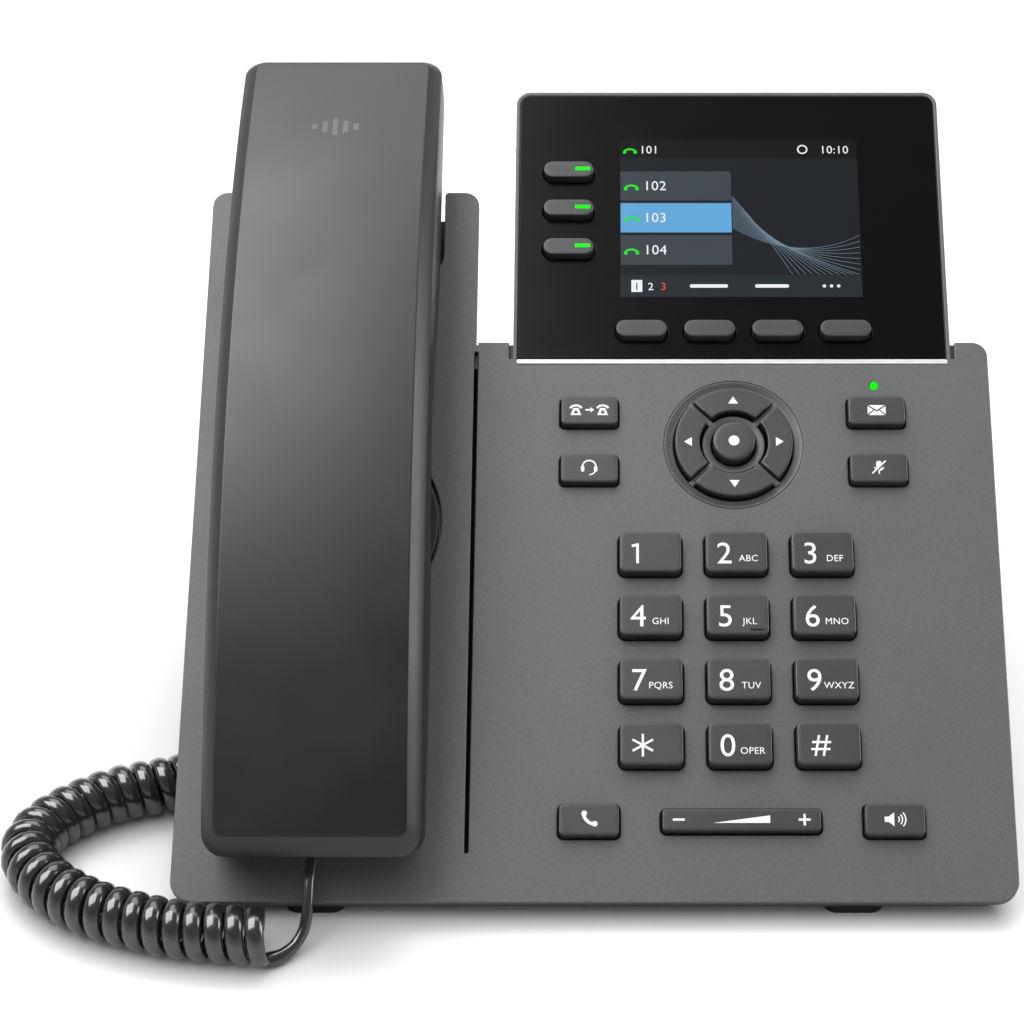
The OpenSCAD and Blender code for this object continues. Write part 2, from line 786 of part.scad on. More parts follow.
cord_tail();
base_plug();
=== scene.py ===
"""Looks of the desk IP phone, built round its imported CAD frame."""
import math

import bmesh
import bpy
from mathutils import Matrix, Vector
from mathutils.geometry import tessellate_polygon


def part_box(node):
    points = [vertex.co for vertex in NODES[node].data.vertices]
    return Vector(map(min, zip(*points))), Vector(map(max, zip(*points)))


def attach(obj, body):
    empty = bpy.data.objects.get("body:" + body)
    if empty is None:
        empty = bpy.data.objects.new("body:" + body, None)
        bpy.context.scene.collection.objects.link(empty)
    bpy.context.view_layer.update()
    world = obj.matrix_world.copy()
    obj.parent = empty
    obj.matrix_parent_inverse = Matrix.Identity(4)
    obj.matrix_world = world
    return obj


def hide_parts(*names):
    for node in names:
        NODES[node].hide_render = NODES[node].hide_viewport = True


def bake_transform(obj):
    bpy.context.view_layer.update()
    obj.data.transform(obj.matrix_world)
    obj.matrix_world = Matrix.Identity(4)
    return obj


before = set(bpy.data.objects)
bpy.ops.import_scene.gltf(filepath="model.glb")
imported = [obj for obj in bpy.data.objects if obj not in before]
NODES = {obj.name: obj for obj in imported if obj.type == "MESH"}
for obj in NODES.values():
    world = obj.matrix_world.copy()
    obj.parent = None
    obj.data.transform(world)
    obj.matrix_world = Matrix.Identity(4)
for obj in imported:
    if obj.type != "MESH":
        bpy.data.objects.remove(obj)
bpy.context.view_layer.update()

# ---- The face frame: x across, v up the slope, h out of the face, all in millimetres ----

MM = 0.001
TILT = math.radians(34)
PLATE_T = 2.5
FRONT_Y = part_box("top_cover")[0].y
FRONT_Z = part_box("top_cover")[0].z + PLATE_T * MM * math.cos(TILT)
FACE = (Matrix.Translation((0, FRONT_Y, FRONT_Z)) @ Matrix.Rotation(TILT, 4, "X")
        @ Matrix.Diagonal((MM, MM, MM, 1)))
WORLD = Matrix.Diagonal((MM, MM, MM, 1))


def new_object(name, data):
    made = bpy.data.objects.new(name, data)
    bpy.context.scene.collection.objects.link(made)
    return made


# ---- Camera ----

CAMERA_LENS, CAMERA_SENSOR, CAMERA_SHIFT = 95.7, 36, -0.0898
CAMERA_X, CAMERA_BACK, CAMERA_UP, CAMERA_DOWN_ANGLE = 0.002, 0.4468, 0.3967, 33


def add_camera():
    data = bpy.data.cameras.new("camera")
    data.lens = CAMERA_LENS
    data.sensor_width = CAMERA_SENSOR
    data.shift_x = CAMERA_SHIFT
    data.clip_start = 0.02
    camera = new_object("camera", data)
    camera.location = (CAMERA_X, FRONT_Y - CAMERA_BACK, CAMERA_UP)
    camera.rotation_euler = (math.radians(90 - CAMERA_DOWN_ANGLE), 0, 0)
    bpy.context.scene.camera = camera


add_camera()


# ---- Materials ----

def set_inputs(node, **values):
    """Sets a node's inputs, with underscores in their names for spaces."""
    for name, value in values.items():
        node.inputs[name.replace("_", " ")].default_value = value


def node_material(name, color, rough, metallic=0.0):
    mat = bpy.data.materials.new(name)
    mat.use_nodes = True
    shader = mat.node_tree.nodes["Principled BSDF"]
    set_inputs(shader, Base_Color=(*color, 1), Roughness=rough, Metallic=metallic)
    return mat, mat.node_tree, shader


def noise(tree, scale, detail=2.0, stretch=(1, 1, 1)):
    """A noise value in object space, whose scale is in bumps per metre."""
    coords = tree.nodes.new("ShaderNodeTexCoord")
    mapping = tree.nodes.new("ShaderNodeMapping")
    set_inputs(mapping, Scale=stretch)
    texture = tree.nodes.new("ShaderNodeTexNoise")
    set_inputs(texture, Scale=scale, Detail=detail)
    tree.links.new(coords.outputs["Object"], mapping.inputs["Vector"])
    tree.links.new(mapping.outputs["Vector"], texture.inputs["Vector"])
    return texture.outputs["Fac"]


def vary(tree, value, low, high, socket, value_low=0.3, value_high=0.7):
    """Drives a number from low to high as a value, by default a noise, goes over its own range."""
    spread = tree.nodes.new("ShaderNodeMapRange")
    set_inputs(spread, From_Min=value_low, From_Max=value_high, To_Min=low, To_Max=high)
    tree.links.new(value, spread.inputs["Value"])
    tree.links.new(spread.outputs["Result"], socket)


def mottle(tree, value, dark, light, socket):
    """Drives a colour from dark to light by a noise value."""
    ramp = tree.nodes.new("ShaderNodeValToRGB")
    ramp.color_ramp.elements[0].position = 0.35
    ramp.color_ramp.elements[0].color = (*dark, 1)
    ramp.color_ramp.elements[1].position = 0.65
    ramp.color_ramp.elements[1].color = (*light, 1)
    tree.links.new(value, ramp.inputs["Fac"])
    tree.links.new(ramp.outputs["Color"], socket)


def bumps(tree, shader, value, strength, height):
    bump = tree.nodes.new("ShaderNodeBump")
    set_inputs(bump, Strength=strength, Distance=height)
    tree.links.new(value, bump.inputs["Height"])
    tree.links.new(bump.outputs["Normal"], shader.inputs["Normal"])


def scaled(color, factor):
    return tuple(min(1.0, c * factor) for c in color)


GRAIN_DEPTH, WEAR_DEPTH = 0.00003, 0.00001


def moulded(name, color, rough, grain=2600, strength=0.35, contrast=0.10, specular=0.5):
    """Moulded plastic: a fine spark-eroded grain, faint speckle and slightly uneven sheen."""
    mat, tree, shader = node_material(name, color, rough)
    set_inputs(shader, Specular_IOR_Level=specular)
    mottle(tree, noise(tree, grain * 0.7, 3), scaled(color, 1 - contrast), scaled(color, 1 + contrast),
           shader.inputs["Base Color"])
    vary(tree, noise(tree, 45, 4), rough - 0.04, rough + 0.05, shader.inputs["Roughness"])
    bumps(tree, shader, noise(tree, grain, 2), strength, GRAIN_DEPTH)
    return mat


def polished(name, color, rough, coat=0.0, metallic=0.0, specular=0.5, wear=1.0):
    """Smooth plastic or plated metal, with faint wiping marks in its sheen that grow with wear."""
    mat, tree, shader = node_material(name, color, rough, metallic)
    set_inputs(shader, Specular_IOR_Level=specular, Coat_Weight=coat, Coat_Roughness=0.03)
    vary(tree, noise(tree, 60, 5, (1, 3, 1)), rough * (1 - 0.2 * wear), rough * (1 + 0.3 * wear),
         shader.inputs["Roughness"])
    mottle(tree, noise(tree, 300, 3), scaled(color, 0.94), scaled(color, 1.06),
           shader.inputs["Base Color"])
    bumps(tree, shader, noise(tree, 900, 2), 0.05 * wear, WEAR_DEPTH)
    return mat


def glowing(name, color, power, rough=0.25):
    """A lit surface, very slightly uneven as a backlight is."""
    mat, tree, shader = node_material(name, scaled(color, 0.1), rough)
    set_inputs(shader, Specular_IOR_Level=0.1, Emission_Strength=power)
    mottle(tree, noise(tree, 25, 2), scaled(color, 0.93), color, shader.inputs["Emission Color"])
    return mat


COVER = moulded("cover_plastic", (0.078, 0.081, 0.083), 0.46, specular=0.4)
HANDSET = moulded("handset_plastic", (0.005, 0.0052, 0.0056), 0.42, strength=0.25, contrast=0.07,
                  specular=0.45)
CASE = moulded("case_plastic", (0.016, 0.0165, 0.018), 0.5, grain=1800)
KEY = moulded("key_plastic", (0.029, 0.030, 0.032), 0.40, strength=0.2, contrast=0.06, specular=0.4)
# painted shade: a darker copy of the key plastic for the key caps' side walls
KEY_SIDE_SHADE = moulded("key_side_shade", (0.020, 0.021, 0.023), 0.45, contrast=0.06, strength=0.2)
BLACK = moulded("black_plastic", (0.008, 0.008, 0.009), 0.5)
RUBBER = moulded("foot_rubber", (0.012, 0.012, 0.013), 0.85, grain=1200, specular=0.3)
MAT = moulded("mat_rubber", (0.06, 0.063, 0.07), 0.7, grain=1500)
CORD = polished("cord_vinyl", (0.020, 0.021, 0.023), 0.20, coat=0.5)
LENS = polished("lens_gloss", (0.0012, 0.0012, 0.0015), 0.20, specular=0.20, wear=0.15)
ACCENT = polished("accent_silver", (0.66, 0.67, 0.68), 0.30, metallic=0.2, wear=0.15)
STEEL = polished("steel", (0.34, 0.34, 0.35), 0.35, metallic=1.0)
PLATED = polished("bright_metal", (0.62, 0.63, 0.65), 0.22, metallic=1.0)
GOLD = polished("contact_gold", (0.85, 0.60, 0.25), 0.25, metallic=1.0)
PLUG = polished("plug_plastic", (0.02, 0.021, 0.023), 0.2, coat=0.4)
BOARD = moulded("board_mask", (0.012, 0.14, 0.045), 0.35, grain=900)
PRINT = moulded("dark_print", (0.055, 0.056, 0.058), 0.5, contrast=0.03, strength=0.1)
LEGEND = moulded("legend_white", (0.80, 0.81, 0.82), 0.5, contrast=0.03, strength=0.1)
LAMP = glowing("lamp_green", (0.004, 0.93, 0.006), 1.0)


# ---- Mesh helpers ----

MERGE_GAP = 0.000004


def clean(mesh, merge_gap=0.0):
    """Merges vertices nearer than merge_gap metres and turns every face outwards."""
    work = bmesh.new()
    work.from_mesh(mesh)
    if merge_gap:
        bmesh.ops.remove_doubles(work, verts=work.verts, dist=merge_gap)
    bmesh.ops.recalc_face_normals(work, faces=work.faces)
    work.to_mesh(mesh)
    work.free()


def add_mesh(name, verts, faces, smooth=(), place=FACE):
    """A mesh object from vertices in mm in the given frame; smooth is the set of faces shaded smooth."""
    mesh = bpy.data.meshes.new(name)
    mesh.from_pydata([place @ Vector(p) for p in verts], [], faces)
    smooth = set(smooth)
    for polygon in mesh.polygons:
        polygon.use_smooth = polygon.index in smooth
    clean(mesh)
    return new_object(name, mesh)


def finish_piece(piece, material, body, replaced=()):
    piece.data.materials.clear()
    piece.data.materials.append(material)
    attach(piece, body)
    if replaced:
        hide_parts(*replaced)
    return piece


def path(corners, steps=6):
    """A closed outline through corners (x, v, radius), with each corner rounded by an arc."""
    points = []
    count = len(corners)
    for i, (x, v, r) in enumerate(corners):
        here = Vector((x, v))
        back = (Vector(corners[i - 1][:2]) - here).normalized()
        on = (Vector(corners[(i + 1) % count][:2]) - here).normalized()
        if r <= 0:
            points.append((x, v))
            continue
        half = back.angle(on) / 2
        centre = here + (back + on).normalized() * (r / math.sin(half))
        start = here + back * (r / math.tan(half)) - centre
        turn = start.angle_signed(here + on * (r / math.tan(half)) - centre)
        for k in range(steps + 1):
            arm = start.copy()
            arm.rotate(Matrix.Rotation(-turn * k / steps, 2))
            points.append(tuple(centre + arm))
    return points


def rect_path(cx, cv, w, d, r, steps=6):
    x0, x1, v0, v1 = cx - w / 2, cx + w / 2, cv - d / 2, cv + d / 2
    return path([(x0, v0, r), (x1, v0, r), (x1, v1, r), (x0, v1, r)], steps)


def ring_path(cx, cv, r, count=48):
    return [(cx + r * math.cos(2 * math.pi * k / count), cv + r * math.sin(2 * math.pi * k / count))
            for k in range(count)]


def signed_area(loop):
    return sum(a[0] * b[1] - b[0] * a[1] for a, b in zip(loop, loop[1:] + loop[:1])) / 2


def inset(loop, amount, hole=False):
    """Moves a loop into the material by amount: inwards for an outline, outwards for a hole."""
    direction = (1 if signed_area(loop) > 0 else -1) * (-1 if hole else 1)
    moved = []
    count = len(loop)
    for i, point in enumerate(loop):
        before = Vector(point) - Vector(loop[i - 1])
        after = Vector(loop[(i + 1) % count]) - Vector(point)
        if before.length < 1e-6 or after.length < 1e-6:
            before = after = before + after
        before, after = before.normalized(), after.normalized()
        normal = Vector((-before.y - after.y, before.x + after.x))
        if normal.length < 1e-6:
            normal = Vector((-after.y, after.x))
        normal.normalize()
        stretch = 1 / max(0.5, normal.dot(Vector((-after.y, after.x))))
        moved.append(tuple(Vector(point) + normal * direction * amount * stretch))
    return moved


def bands(first, levels, count):
    """Four-sided faces between rings of count vertices each, the first of which starts at first."""
    return [(a + i, a + (i + 1) % count, a + count + (i + 1) % count, a + count + i)
            for a in range(first, first + (levels - 1) * count, count) for i in range(count)]


def sheet_mesh(name, outline, holes, h0, h1, bevel, lower_bevel=None, place=FACE, arc=3):
    """A flat panel with holes, whose edges are rounded over by an arc at the top and the bottom."""
    lower_bevel = bevel if lower_bevel is None else lower_bevel
    levels = []
    for k in range(arc + 1):
        a = math.pi / 2 * k / arc
        levels.append((lower_bevel * (1 - math.sin(a)), h0 + lower_bevel * (1 - math.cos(a))))
    for k in range(arc + 1):
        a = math.pi / 2 * k / arc
        levels.append((bevel * (1 - math.cos(a)), h1 - bevel * (1 - math.sin(a))))
    verts, faces = [], []
    caps = ([], [])
    cap_index = ([], [])
    for number, loop in enumerate([outline] + list(holes)):
        count = len(loop)
        first = len(verts)
        for amount, height in levels:
            verts += [(x, v, height) for x, v in inset(loop, amount, number > 0)]
        faces += bands(first, len(levels), count)
        top = first + (len(levels) - 1) * count
        for side, start in ((0, first), (1, top)):
            caps[side].append([Vector(verts[start + i]) for i in range(count)])
            cap_index[side].extend(range(start, start + count))
    smooth = range(len(faces))
    for side in (0, 1):
        for triangle in tessellate_polygon(caps[side]):
            faces.append(tuple(cap_index[side][i] for i in triangle))
    return add_mesh(name, verts, faces, smooth, place)


def stack_mesh(name, rings, place=FACE):
    """A closed skin through rings of 3D points, all with the same count, with a fan at each end."""
    count = len(rings[0])
    verts = [p for ring in rings for p in ring]
    faces = bands(0, len(rings), count)
    smooth = range(len(faces))
    for ring_start in (0, (len(rings) - 1) * count):
        ring = verts[ring_start:ring_start + count]
        centre = len(verts)
        verts.append(tuple(sum(p[k] for p in ring) / count for k in range(3)))
        for i in range(count):
            faces.append((ring_start + i, ring_start + (i + 1) % count, centre))
    return add_mesh(name, verts, faces, smooth, place)


LATHE_STEPS = 64


def lathe(name, profile, cx, cv):
    """A solid of revolution about the face normal at (cx, cv), from profile points (radius, height)."""
    return stack_mesh(name, [[(x, v, h) for x, v in ring_path(cx, cv, r, LATHE_STEPS)] for r, h in profile])


# ---- The curly cord ----

WIRE_W, WIRE_T = 4.1, 2.5
LEAD_W = 2.6
COIL_D = 12.9
HELIX_R = (COIL_D - WIRE_T) / 2
PITCH = 4.42
TURN_STEPS = 18
COIL_ROUTE = [(-70, -97.5), (-84, -96), (-95, -93.5), (-108, -88.5), (-118, -81.5), (-124, -73),
              (-124.5, -65), (-119, -57), (-109, -50), (-97, -46), (-84, -42), (-70, -38.5), (-56, -36.5),
              (-42, -34.5), (-28, -31), (-18, -23.5), (-16, -13), (-22, -3), (-33, 3.5), (-45, 6),
              (-57, 6.5)]
LEAD_ROUTE = [(-60.5, -79.3, 16.9), (-60.8, -82, 15), (-61.2, -86, 12.6), (-61.3, -89, 10.2),
              (-61.5, -91.5, 7.8), (-62, -93.5, 5.4), (-63.2, -95.5, 3.6), (-65, -97.5, 2.5),
              (-67, -99, 2)]
TAIL_ROUTE = [(-62, 10.5, 4), (-66, 10, 6), (-69, 9, 10), (-70, 7.5, 17), (-69, 6, 25), (-65, 5, 32),
              (-58, 4.4, 37.8), (-49, 4.2, 40.9), (-40, 4.1, 42), (-30, 4.1, 42.1)]


def smooth_route(points, gap):
    """Even steps along a Catmull-Rom curve through the points, about gap apart."""
    points = [Vector(p) for p in points]
    ends = [2 * points[0] - points[1]] + points + [2 * points[-1] - points[-2]]
    fine = []
    for a, b, c, d in zip(ends, ends[1:], ends[2:], ends[3:]):
        for k in range(24):
            t = k / 24
            fine.append(0.5 * (2 * b + (c - a) * t + (2 * a - 5 * b + 4 * c - d) * t * t
                               + (3 * b - a - 3 * c + d) * t ** 3))
    fine.append(points[-1])
    total = sum((q - p).length for p, q in zip(fine, fine[1:]))
    steps = max(2, round(total / gap))
    even = [fine[0]]
    run, target = 0.0, total / steps
    for p, q in zip(fine, fine[1:]):
        span = (q - p).length
        while span > 0 and run + span >= target - 1e-9 and len(even) < steps:
            even.append(p.lerp(q, (target - run) / span))
            target += total / steps
        run += span
    even.append(fine[-1])
    return even


def headings(points):
    last = len(points) - 1
    return [(points[min(i + 1, last)] - points[max(i - 1, 0)]).normalized() for i in range(last + 1)]


def curly_centreline():
    """The wire's centreline and, at each point, the way its wide side faces."""
    axis = smooth_route([(x, y, COIL_D / 2) for x, y in COIL_ROUTE], PITCH / TURN_STEPS)
    ways = headings(axis)
    up = Vector((0, 0, 1))
    start_angle, angle_step = math.radians(150), -2 * math.pi / TURN_STEPS
    helix, wide = [], []
    for i, (centre, way) in enumerate(zip(axis, ways)):
        left = up.cross(way).normalized()
        angle = start_angle + i * angle_step
        helix.append(centre + HELIX_R * (math.cos(angle) * up + math.sin(angle) * left))
        wide.append(way)
    lead = smooth_route([Vector(p) for p in LEAD_ROUTE] + [helix[0]], 0.7)[:-1]
    edge_on = Vector((0, -0.45, 0.9)).normalized()
    lead_wide = [edge_on.lerp(wide[0], max(0, (i / len(lead) - 0.5) / 0.5)) for i in range(len(lead))]
    return lead + helix, lead_wide + wide, len(lead)


def oval_tube(name, line, wide, widths, sides=12):
    """A tube of flat oval section along line, whose wide axis follows the given directions."""
    rings = []
    for point, way, across, width in zip(line, headings(line), wide, widths):
        broad = (across - way * across.dot(way)).normalized()
        thin = way.cross(broad)
        rings.append([tuple(point + broad * (width / 2 * math.cos(2 * math.pi * k / sides))
                            + thin * (WIRE_T / 2 * math.sin(2 * math.pi * k / sides)))
                      for k in range(sides)])
    return stack_mesh(name, rings, WORLD)


def add_cord():
    """The curly cord with its straight lead, and the short straight tail to the jack under the base."""
    line, wide, lead_count = curly_centreline()
    widen_at = lead_count * 0.75
    widths = [LEAD_W + (WIRE_W - LEAD_W) * min(1, max(0, (i - widen_at) / (TURN_STEPS * 0.7)))
              for i in range(len(line))]
    cord = oval_tube("curly_cord", line, wide, widths)
    cord.data.materials.append(CORD)
    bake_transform(cord)
    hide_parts("cord_coil", "cord_lead")
    run = smooth_route([line[-1]] + [Vector(p) for p in TAIL_ROUTE], 1.2)
    across = [wide[-1].lerp(Vector((0, 1, 0)), min(1, i / len(run) * 3)) for i in range(len(run))]
    tail = oval_tube("cord_tail_run", run, across, [LEAD_W] * len(run))
    finish_piece(tail, CORD, "base", ["cord_tail"])


add_cord()


# ---- Face plate, display and screen ----

PLATE_W, PLATE_LEN, CRADLE_LEN, HEAD_LEN = 184, 135, 175.3, 203.4
CRADLE_X1 = -28
HS_X, NOTCH_W, NOTCH_V = -60, 47.6, 152.5
HEAD_X, HEAD_W, LENS_W = 32, 102.7, 100.8
ROOT_SLOT_W, ROOT_SLOT_LEN = 0.95, 4.3
STRIP_V0, LENS_V0, LENS_V1 = 129.3, 130.5, 202.3
GRILLE_V, GRILLE_R, GRILLE_HOLE_R = 89, 24.2, 24.9
SCREEN_X, SCREEN_V, SCREEN_W, SCREEN_H = 34.6, 168.4, 57.4, 43
NAV_V, NAV_RING_R, NAV_HOLE_R = 108.6, 16.1, 13.9
NAV_RECESS, NAV_SLOPE = 0.7, 1.5
SPIDER_R0, SPIDER_R1, SPOKE_SKIN_W = 5.3, 7.3, 1.3
OK_R = 4.85
MOUTH_V, MOUTH_W, MOUTH_D, MOUTH_R = 35, 40, 33, 6
CRADLE_SLOT_V0, CRADLE_SLOT_V1, CRADLE_SLOT_W = 11, 132.5, 0.9
LIP_INSET, LIP_V0, LIP_V1, LIP_H0, LIP_H1 = 5, 0.5, 4, -5.2, -2.4
NAV_SKIN_H, NAV_FLOOR_H = -2.3, -3.8
GRILLE_ROWS, GRILLE_PITCH, GRILLE_HOLE = 8, 2.6, 0.62
KEY_GAP, SIDE_HOLE_R, SIDE_R, VOLUME_R, DIAL_R, PILL_R = 0.3, 0.9, 1.1, 0.9, 1.4, 2.15
PILL = (12.0, 4.4)
DIAL = (14.1, 9.9)
SIDE = (13.2, 7.2)
VOLUME = (34.7, 5.0)
BOTTOM_V = 18.0
LAMP_X, LAMP_V = 65, 123.6
HOOK_V = 142
LINE_KEYS = {f"line_key_{i + 1}": (-6.5, 180.4 - 10.5 * i) for i in range(3)}
SOFT_KEYS = {f"soft_key_{i + 1}": (10.8 + 16 * i, 137.6) for i in range(4)}
DIAL_NAMES = ["key_1", "key_2", "key_3", "key_4", "key_5", "key_6", "key_7", "key_8", "key_9",
              "key_star", "key_0", "key_hash"]
DIAL_KEYS = {name: (12.5 + 19.5 * (i % 3), 80.7 - 15.2 * (i // 3))
             for i, name in enumerate(DIAL_NAMES)}
SIDE_KEYS = {"transfer_key": (-1.4, 116.4), "headset_key": (-1.4, 101.8), "message_key": (65.2, 116.4),
             "mute_key": (65.2, 101.8), "send_key": (-1.3, BOTTOM_V), "speaker_key": (65.4, BOTTOM_V)}


def plate_outline():
    left, right = -PLATE_W / 2, PLATE_W / 2
    head0, head1 = HEAD_X - HEAD_W / 2, HEAD_X + HEAD_W / 2
    root = PLATE_LEN - ROOT_SLOT_LEN
    notch0, notch1 = HS_X - NOTCH_W / 2, HS_X + NOTCH_W / 2
    return path([
        (left, 0, 5), (right, 0, 5), (right, PLATE_LEN, 3.6),
        (head1 + ROOT_SLOT_W, PLATE_LEN, 0.4), (head1 + ROOT_SLOT_W, root, 0), (head1, root, 0),
        (head1, HEAD_LEN, 3.5), (head0, HEAD_LEN, 3.5), (head0, root, 0),
        (head0 - ROOT_SLOT_W, root, 0),
        (head0 - ROOT_SLOT_W, PLATE_LEN, 0.4), (CRADLE_X1 + 0.45, PLATE_LEN, 0),
        (CRADLE_X1 + 0.45, PLATE_LEN - 1, 0), (CRADLE_X1, PLATE_LEN - 1, 0), (CRADLE_X1, CRADLE_LEN, 3.5),
        (notch1, CRADLE_LEN, 1), (notch1, NOTCH_V, 6), (notch0, NOTCH_V, 6), (notch0, CRADLE_LEN, 1),
        (left, CRADLE_LEN, 3.5)], 8)


def key_hole(at, size, r, gap=KEY_GAP):
    return rect_path(at[0], at[1], size[0] + 2 * gap, size[1] + 2 * gap, r + gap, 5)


def paint_edge_shade(piece, below):
    """Gives the faces of a panel that lie deeper than below the dark casing plastic, as painted shade on its
    edges and hole walls.
    """
    piece.data.materials.append(CASE)
    to_face = FACE.inverted()
    for polygon in piece.data.polygons:
        if (to_face @ polygon.center).z < below:
            polygon.material_index = 1


def add_plate():
    lens0, lens1 = HEAD_X - LENS_W / 2, HEAD_X + LENS_W / 2
    cradle_slot_mid = (CRADLE_SLOT_V0 + CRADLE_SLOT_V1) / 2
    holes = [path([(lens0, STRIP_V0, 0.4), (lens1, STRIP_V0, 0.4), (lens1, LENS_V1, 2.6),
                   (lens0, LENS_V1, 2.6)], 6),
             rect_path(CRADLE_X1, cradle_slot_mid, CRADLE_SLOT_W, CRADLE_SLOT_V1 - CRADLE_SLOT_V0, 0.42, 3),
             ring_path(HS_X, GRILLE_V, GRILLE_HOLE_R, 72),
             rect_path(HS_X, MOUTH_V, MOUTH_W, MOUTH_D, MOUTH_R),
             ring_path(HEAD_X, NAV_V, NAV_RING_R, 96), ring_path(LAMP_X, LAMP_V, 1, 20),
             ring_path(HS_X, HOOK_V, 3.4, 32), key_hole((HEAD_X, BOTTOM_V), VOLUME, VOLUME_R, 0.4)]
    holes += [key_hole(at, DIAL, DIAL_R) for at in DIAL_KEYS.values()]
    holes += [key_hole(at, SIDE, SIDE_HOLE_R) for at in SIDE_KEYS.values()]
    plate = sheet_mesh("face_plate", plate_outline(), holes, -PLATE_T, 0, 0.3, 0.6)
    finish_piece(plate, COVER, "base", ["top_cover"])
    # painted shade: the plate's edges and hole walls take the dark casing plastic
    paint_edge_shade(plate, -0.5)


def add_shade_lip():
    """A dark sheet just under the plate's front edge, as painted shade below that edge."""
    left, right = LIP_INSET - PLATE_W / 2, PLATE_W / 2 - LIP_INSET
    outline = path([(left, LIP_V0, 2), (right, LIP_V0, 2), (right, LIP_V1, 1), (left, LIP_V1, 1)], 4)
    lip = sheet_mesh("shade_lip", outline, [], LIP_H0, LIP_H1, 0.3)
    finish_piece(lip, CASE, "base")


def add_mouth_pocket():
    """The shallow dish that the mouthpiece sits in."""
    rings = []
    for grow, h in ((-3, -6.4), (0.6, -6.2), (0.6, -1.2), (0, -1.2), (-0.4, -3.6), (-0.8, -4.4),
                    (-1.6, -4.8), (-2.4, -5)):
        loop = rect_path(HS_X, MOUTH_V, MOUTH_W + grow, MOUTH_D + grow, MOUTH_R + grow / 2)
        rings.append([(x, v, h) for x, v in loop])
    pocket = stack_mesh("mouth_pocket", rings)
    finish_piece(pocket, COVER, "base")


def ring_skin(name, profile, count=96):
    """A closed ring about the navigation centre, from a closed profile of (radius, height) points."""
    verts = [(x, v, h) for r, h in profile for x, v in ring_path(HEAD_X, NAV_V, r, count)]
    last = len(profile)
    faces = [(r * count + k, r * count + (k + 1) % count, (r + 1) % last * count + (k + 1) % count,
              (r + 1) % last * count + k) for r in range(last) for k in range(count)]
    return add_mesh(name, verts, faces, range(len(faces)))


def add_nav_ring():
    rim, low = NAV_RING_R - 0.02, NAV_RING_R - NAV_SLOPE
    bezel = ring_skin("nav_bezel", [(rim, NAV_SKIN_H), (rim, -0.12), (rim - 0.12, -0.02),
                                    (rim - 0.3, -0.06), (low + 0.25, -NAV_RECESS + 0.02),
                                    (low, -NAV_RECESS - 0.02), (NAV_HOLE_R + 0.3, -NAV_RECESS),
                                    (NAV_HOLE_R + 0.06, -NAV_RECESS - 0.2), (NAV_HOLE_R, NAV_SKIN_H)])
    finish_piece(bezel, COVER, "base")
    hub = ring_skin("nav_hub", [(SPIDER_R1, NAV_SKIN_H), (SPIDER_R1, -0.4), (SPIDER_R1 - 0.1, -0.2),
                                (SPIDER_R1 - 0.35, -0.12), (SPIDER_R0 + 0.6, -0.5),
                                (SPIDER_R0 + 0.15, -0.6), (SPIDER_R0, -0.8), (SPIDER_R0, NAV_SKIN_H)])
    finish_piece(hub, COVER, "base")
    inner, outer = SPIDER_R1 - 0.5, NAV_HOLE_R + 0.4
    for i in range(4):
        turn = Matrix.Rotation(math.pi / 4 + i * math.pi / 2, 2)
        corners = []
        for r, side in ((inner, -1), (outer, -1), (outer, 1), (inner, 1)):
            corner = turn @ Vector((r, side * SPOKE_SKIN_W / 2))
            corners.append((HEAD_X + corner.x, NAV_V + corner.y))
        spoke = sheet_mesh(f"nav_spoke_{i + 1}", corners, [], NAV_SKIN_H, -0.1, 0.15)
        finish_piece(spoke, COVER, "base")
    floor = lathe("nav_floor", [(NAV_HOLE_R, NAV_FLOOR_H - 0.2), (NAV_HOLE_R, NAV_FLOOR_H),
                                (0.3, NAV_FLOOR_H)], HEAD_X, NAV_V)
    finish_piece(floor, BLACK, "base")


def add_slot_floors():
    """The casing that shows through the narrow slots at the plate's upper edge."""
    head0, head1 = HEAD_X - HEAD_W / 2, HEAD_X + HEAD_W / 2
    for i, x in enumerate((head0 - ROOT_SLOT_W / 2, head1 + ROOT_SLOT_W / 2, CRADLE_X1 + 0.1)):
        outline = rect_path(x, PLATE_LEN - 3.2, 2.0, 6.2, 0.2, 2)
        floor = sheet_mesh(f"slot_floor_{i + 1}", outline, [], -2.45, -1.4, 0.05, arc=1)
        finish_piece(floor, CASE, "base")


def add_lens():
    holes = [key_hole(at, PILL, PILL_R) for at in (*LINE_KEYS.values(), *SOFT_KEYS.values())]
    left, right, top = HEAD_X - LENS_W / 2 + 0.05, HEAD_X + LENS_W / 2 - 0.05, LENS_V1 - 0.05
    outline = path([(left, LENS_V0, 0.3), (right, LENS_V0, 0.3), (right, top, 2.5), (left, top, 2.5)], 6)
    lens = sheet_mesh("display_glass", outline, holes, -1.8, 0.1, 0.2)
    finish_piece(lens, LENS, "base", ["display_lens"])
    outline = rect_path(HEAD_X, (STRIP_V0 + LENS_V0) / 2, LENS_W + 0.2, LENS_V0 - STRIP_V0 - 0.06, 0.35, 4)
    strip = sheet_mesh("silver_strip", outline, [], -1.6, 0.16, 0.12)
    finish_piece(strip, ACCENT, "base", ["accent_strip"])


def add_grille():
    holes = []
    for row in range(1, GRILLE_ROWS + 1):
        for x, v in ring_path(HS_X, GRILLE_V, row * GRILLE_PITCH, 6 * row):
            holes.append(ring_path(x, v, GRILLE_HOLE, 10))
    disc = ring_path(HS_X, GRILLE_V, GRILLE_R, 72)
    grille = sheet_mesh("speaker_grille_disc", disc, holes, -2.2, -0.2, 0.3, arc=2)
    finish_piece(grille, BLACK, "base", ["speaker_grille"])


add_plate()
# painted shade: a dark sheet under the plate's front edge
add_shade_lip()
add_mouth_pocket()
add_nav_ring()
add_slot_floors()
add_lens()
add_grille()


# ---- Screen ----

